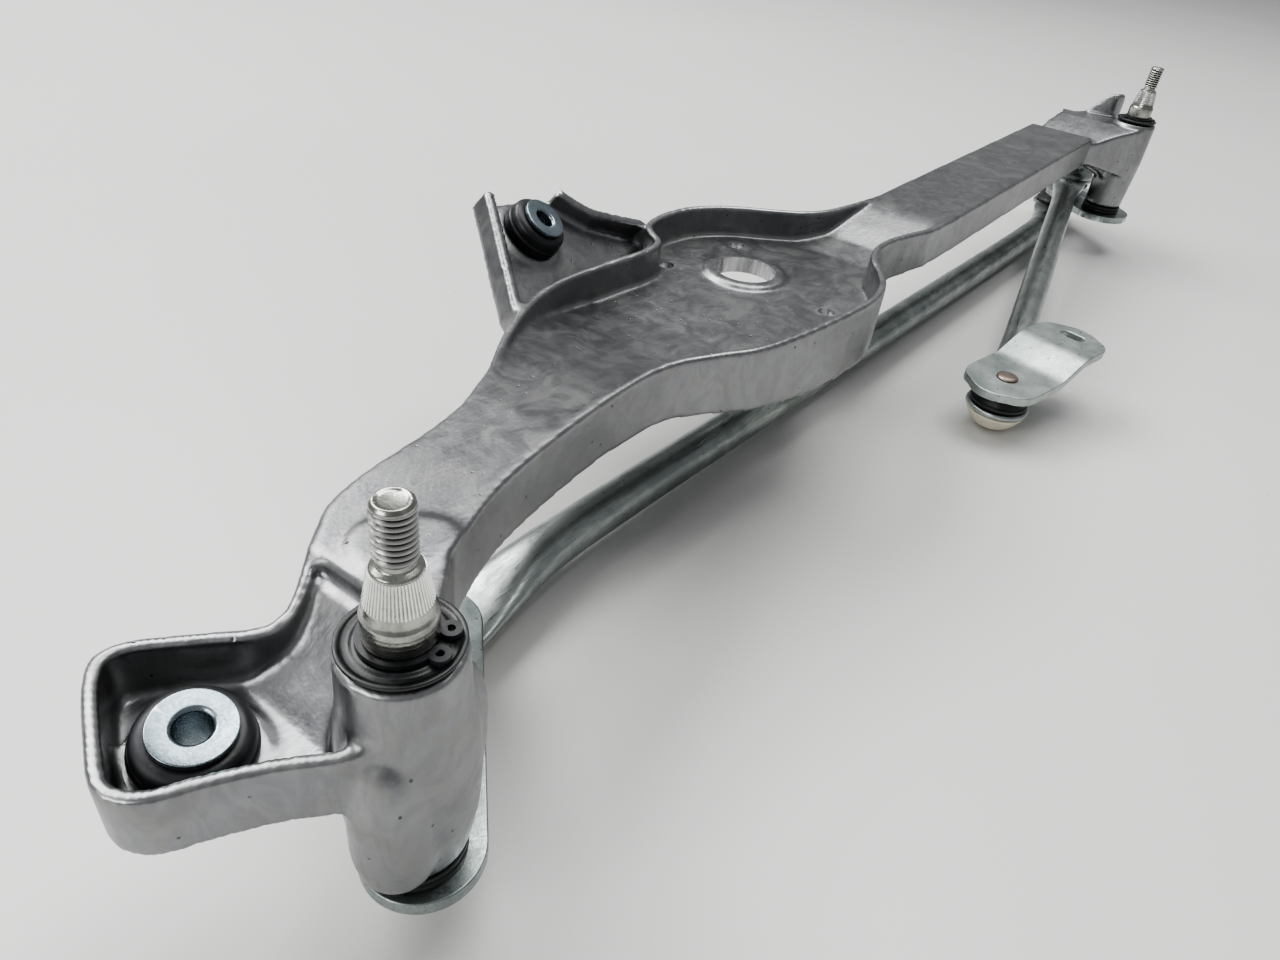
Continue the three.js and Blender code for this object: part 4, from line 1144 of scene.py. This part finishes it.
# %% Lofted tube
TUBE_SIDES = 32
ROD_VOXEL = 0.0008  # metres


def tube(mesh, stations):
    """stations are (x, y, z, half width, half height)."""
    run = curve(stations, 2.5)
    rings = []
    for i, point in enumerate(run):
        ahead, behind = run[min(i + 1, len(run) - 1)], run[max(i - 1, 0)]
        tangent = Vector((ahead - behind)[:3]).normalized()
        side = tangent.cross(Vector((0, 0, 1))).normalized()
        rise = side.cross(tangent)
        centre, width, height = Vector(point[:3]), point[3], point[4]
        power = 1 - 0.35 * (1 - min(height / width, 1))  # a pressed end is squarer than an oval
        ring = []
        for k in range(TUBE_SIDES):
            turn = 2 * math.pi * k / TUBE_SIDES
            c, s = math.cos(turn), math.sin(turn)
            across = width * math.copysign(abs(c) ** power, c)
            upward = height * math.copysign(abs(s) ** power, s)
            ring.append(mesh.verts.new(centre + across * side + upward * rise))
        rings.append(ring)
    grid_shell(mesh, rings, around=True)


def rod(name, stations, eyes, material):
    """eyes are (ball, play)."""
    mesh, holes = bmesh.new(), bmesh.new()
    tube(mesh, stations)
    for ball, play in eyes:
        rim = 14.2 + 0.6 * play
        turned(mesh, [(0, -0.9), (rim, -0.9), (rim, 1.9), (0, 1.9)], ball, 96)
        hole = 10.3 + 0.7 * play
        turned(holes, [(0, -14), (hole, -14), (hole, 14), (0, 14)], ball, 96)
    piece = fuse(put(name + "_pressed_tube", mesh), ROD_VOXEL, 3)
    cut(piece, put("holes", holes))
    finish(piece, name, material, [name], 50)


print("each section of a tube has", TUBE_SIDES, "points")


# %% Both rods
rod("long_rod",
    [(53, 48.5, -75.5, 12, 2), (63, 49.8, -75.5, 11.8, 2), (80, 51.4, -75.2, 10.5, 4.4),
     (96, 52.1, -74.6, 9, 7), (116, 51.9, -74.4, 8, 8), (240, 46.5, -75.4, 8, 8),
     (400, 39.4, -76.8, 8, 8), (575, 31.8, -78, 8, 8), (610, 31.3, -78, 8, 8),
     (630, 32.2, -77.6, 9, 6.6), (645, 33.8, -76.7, 10.5, 3.8), (654.4, 35.4, -75.5, 11.8, 2),
     (666.4, 36.8, -75.5, 12, 2)],
    [(NEAR_BALL, 0), (FAR_BALL, FAR_PLAY)], ROD_ZINC)


def drive_station(t, rise, width, height, level=None):
    x, y, z = DRIVE_BALL.lerp(CRANK_BALL, t)
    return (x, y, z + rise if level is None else level, width, height)


rod("drive_rod",
    [drive_station(0.015, 0, 11.5, 2, DRIVE_BALL.z), drive_station(0.045, 0, 11, 2, DRIVE_BALL.z),
     drive_station(0.075, 1, 10, 4.4), drive_station(0.11, 1, 8.6, 6.4),
     drive_station(0.15, 0, 7.6, 7.6), drive_station(0.5, -0.6, 7.6, 7.6),
     drive_station(0.82, 0.4, 7.6, 7.6), drive_station(0.88, 1, 8.4, 6.2),
     drive_station(0.93, 0.6, 10, 3.6), drive_station(0.955, 0, 11, 2, CRANK_BALL.z),
     drive_station(0.99, 0, 11.5, 2, CRANK_BALL.z)],
    [(DRIVE_BALL, 0), (CRANK_BALL, 0)], DRIVE_ZINC)

# %% [markdown]
# The drive rod's upper eye is pressed into a thin dome that covers its cup.

# %% Pressed dome
DOME = [(0, 9.9), (7.6, 9.8), (10.6, 9), (12.9, 6.6), (14, 4.2), (14.3, 2), (13.7, 2), (13.4, 4.1),
        (12.3, 6.3), (10.2, 8.4), (7.5, 9.2), (0, 9.3)]
turned_piece("drive_rod_pressed_dome", rounded(DOME, 1.0, steps=4), DRIVE_BALL, "drive_rod",
             DRIVE_ZINC, "drive_rod", sharp=50, sides=72, closed=False)

# %% [markdown]
# ## Motor crank
# The crank is a pressed strip with two bends, a rivet hole for the ball stud and a flatted slot
# for the motor's shaft. It is blanked and pierced flat, sliced across where it will bend, and
# then each slice is lifted along a smooth side profile, as the press does it.

# %% Crank
CRANK_TOP = rounded([(-30, 0), (19.5, 0), (37.5, 7), (80, 7)], 3.2, steps=6)


def arc_corner(points, start, control, end):
    for i in range(1, 9):
        t = i / 8
        points.append(tuple((1 - t) ** 2 * a + 2 * t * (1 - t) * c + t * t * b
                            for a, c, b in zip(start, control, end)))


def crank_blank():
    half, left, right, corner = 17.4, -19.8, 67.6, 7
    points = [(left + 19, -half), (right - 15, -half)]
    corners = [((right - 7, -half), (right - 4, corner - half)),
               ((right + 4, 0), (right - 4, half - corner)),
               ((right - 7, half), (right - 15, half)),
               ((left + 8, half), (left + 5, half - corner)),
               ((left - 5, 0), (left + 5, corner - half)),
               ((left + 8, -half), (left + 19, -half))]
    for i, (control, end) in enumerate(corners):
        if i == 3:  # the long straight side
            points.append((left + 19, half))
        arc_corner(points, points[-1], control, end)
    return points[:-1]


def crank():
    mesh, holes = bmesh.new(), bmesh.new()
    plate(mesh, crank_blank(), -4, 0)
    drill(holes, 0, 0, STUD_HOLE)
    slot = [(56.4 + 3.4 * math.cos(a), math.copysign(2.6, math.sin(a)) + 3.4 * math.sin(a))
            for a in (math.pi * (i + 0.5) / 16 for i in range(32))]
    plate(holes, slot, -THROUGH, THROUGH)
    piece = cut(put("pressed_crank", mesh), put("holes", holes))
    work = bmesh.new()
    work.from_mesh(piece.data)
    work.transform(TO_ROW.inverted())
    for i in range(49):  # a slice each 0.5 mm over both bends, and none on the flat between
        everything = [*work.verts, *work.edges, *work.faces]
        bend = (15.5 + 0.5 * i + (7 if i > 17 else 0), 0, 0)
        bmesh.ops.bisect_plane(work, geom=everything, plane_co=bend, plane_no=(1, 0, 0))
    for vertex in work.verts:
        vertex.co.z += height_on(CRANK_TOP, vertex.co.x)
    stand = Matrix.Translation((CRANK_BALL.x, CRANK_BALL.y, -61))
    work.transform(TO_ROW @ stand @ Matrix.Rotation(math.radians(-13), 4, "Z"))
    work.to_mesh(piece.data)
    work.free()
    roll_edges(piece, 50)
    finish(piece, "motor_crank", CRANK_ZINC, ["motor_crank"], plain_faces=True)


crank()

# %% [markdown]
# ## Parts kept from the CAD
# Bushes and upper seals sit inside the barrels. Their shape is right already, so they only get
# their finish.

# %% Finish on the kept CAD parts
KEPT = {"upper_bush": SINTERED_BRONZE, "lower_bush": SINTERED_BRONZE, "top_seal": BLACK_RUBBER}
for side in SIDES:
    for part, material in KEPT.items():
        kept = frame["nodes"][f"{side}_{part}"]
        kept.data.materials.clear()
        kept.data.materials.append(material)
print(len(finished), "pieces made,", len(SIDES) * len(KEPT), "kept")

# %% [markdown]
# ## Table, light and camera
# The part lies on a pale table under large soft lamps. A metal shows what it reflects, so the
# lamps are big panels with dark gaps between them: that gives the long soft highlights.

# %% The table
def pale_table():
    material, tree, shader, place = new_material("pale_laminate", None, 0.0, Roughness=0.42)
    clouds = add(tree, "ShaderNodeTexNoise",
                 {"Vector": place, "Scale": per_mm(300), "Detail": 2}).outputs["Fac"]
    specks = add(tree, "ShaderNodeTexNoise",
                 {"Vector": place, "Scale": per_mm(6), "Detail": 2}).outputs["Fac"]
    skin = coated(tree, linear("#cfcfcd"),
                  [(clouds, 0, 1, 1, "#d9d8d6"), (specks, 0.78, 0.82, 0.35, "#8a8a88")])
    tree.links.new(skin, shader.inputs["Base Color"])
    return material


TABLE_GAP = 0.0005
mesh = bmesh.new()
bmesh.ops.create_grid(mesh, x_segments=8, y_segments=8, size=6)
bmesh.ops.translate(mesh, verts=mesh.verts, vec=(0.3, 0, cad_low.z - TABLE_GAP))
table_mesh = bpy.data.meshes.new("table_top")
mesh.to_mesh(table_mesh)
mesh.free()
table = bpy.data.objects.new("table_top", table_mesh)
bpy.context.scene.collection.objects.link(table)
table.data.materials.append(pale_table())
print("the table top is at", round(table_mesh.vertices[0].co.z, 4), "m")

# %% Lamps
def panel(name, at, towards, width, height, power):
    lamp = bpy.data.lights.new(name, "AREA")
    lamp.shape, lamp.size, lamp.size_y, lamp.energy = "RECTANGLE", width, height, power
    stand = bpy.data.objects.new(name, lamp)
    bpy.context.scene.collection.objects.link(stand)
    stand.location = at
    stand.rotation_euler = (Vector(towards) - Vector(at)).to_track_quat("-Z", "Y").to_euler()
    return stand


MIDDLE = (0.3, 0.03, -0.06)
panel("key_panel", (0.1, 1.5, 1.5), MIDDLE, 1.8, 1.0, 48)
panel("top_panel", (0.9, 0.2, 1.9), MIDDLE, 1.6, 1.2, 32)
panel("side_panel", (-1.5, 0.3, 0.9), MIDDLE, 0.9, 0.7, 12)
room = bpy.data.worlds.new("room")
room.use_nodes = True
room.node_tree.nodes["Background"].inputs["Color"].default_value = linear("#e6e8ea")
room.node_tree.nodes["Background"].inputs["Strength"].default_value = 0.38
bpy.context.scene.world = room
bpy.context.scene.view_settings.look = "AgX - Medium High Contrast"

# %% Camera
camera_data = bpy.data.cameras.new("camera")
camera_data.lens, camera_data.sensor_width, camera_data.clip_start = 25.31, 36, 0.001
camera = bpy.data.objects.new("camera", camera_data)
bpy.context.scene.collection.objects.link(camera)
right, up, back = (0.5896, -0.8004, 0.1080), (0.4239, 0.4205, 0.8021), (-0.6875, -0.4271, 0.5873)
stand = Matrix((right, up, back)).transposed().to_4x4()
camera.matrix_world = Matrix.Translation((-0.0740, -0.0916, 0.0908)) @ stand
bpy.context.scene.camera = camera
print("a", camera_data.lens, "mm lens on a", camera_data.sensor_width, "mm wide sensor")
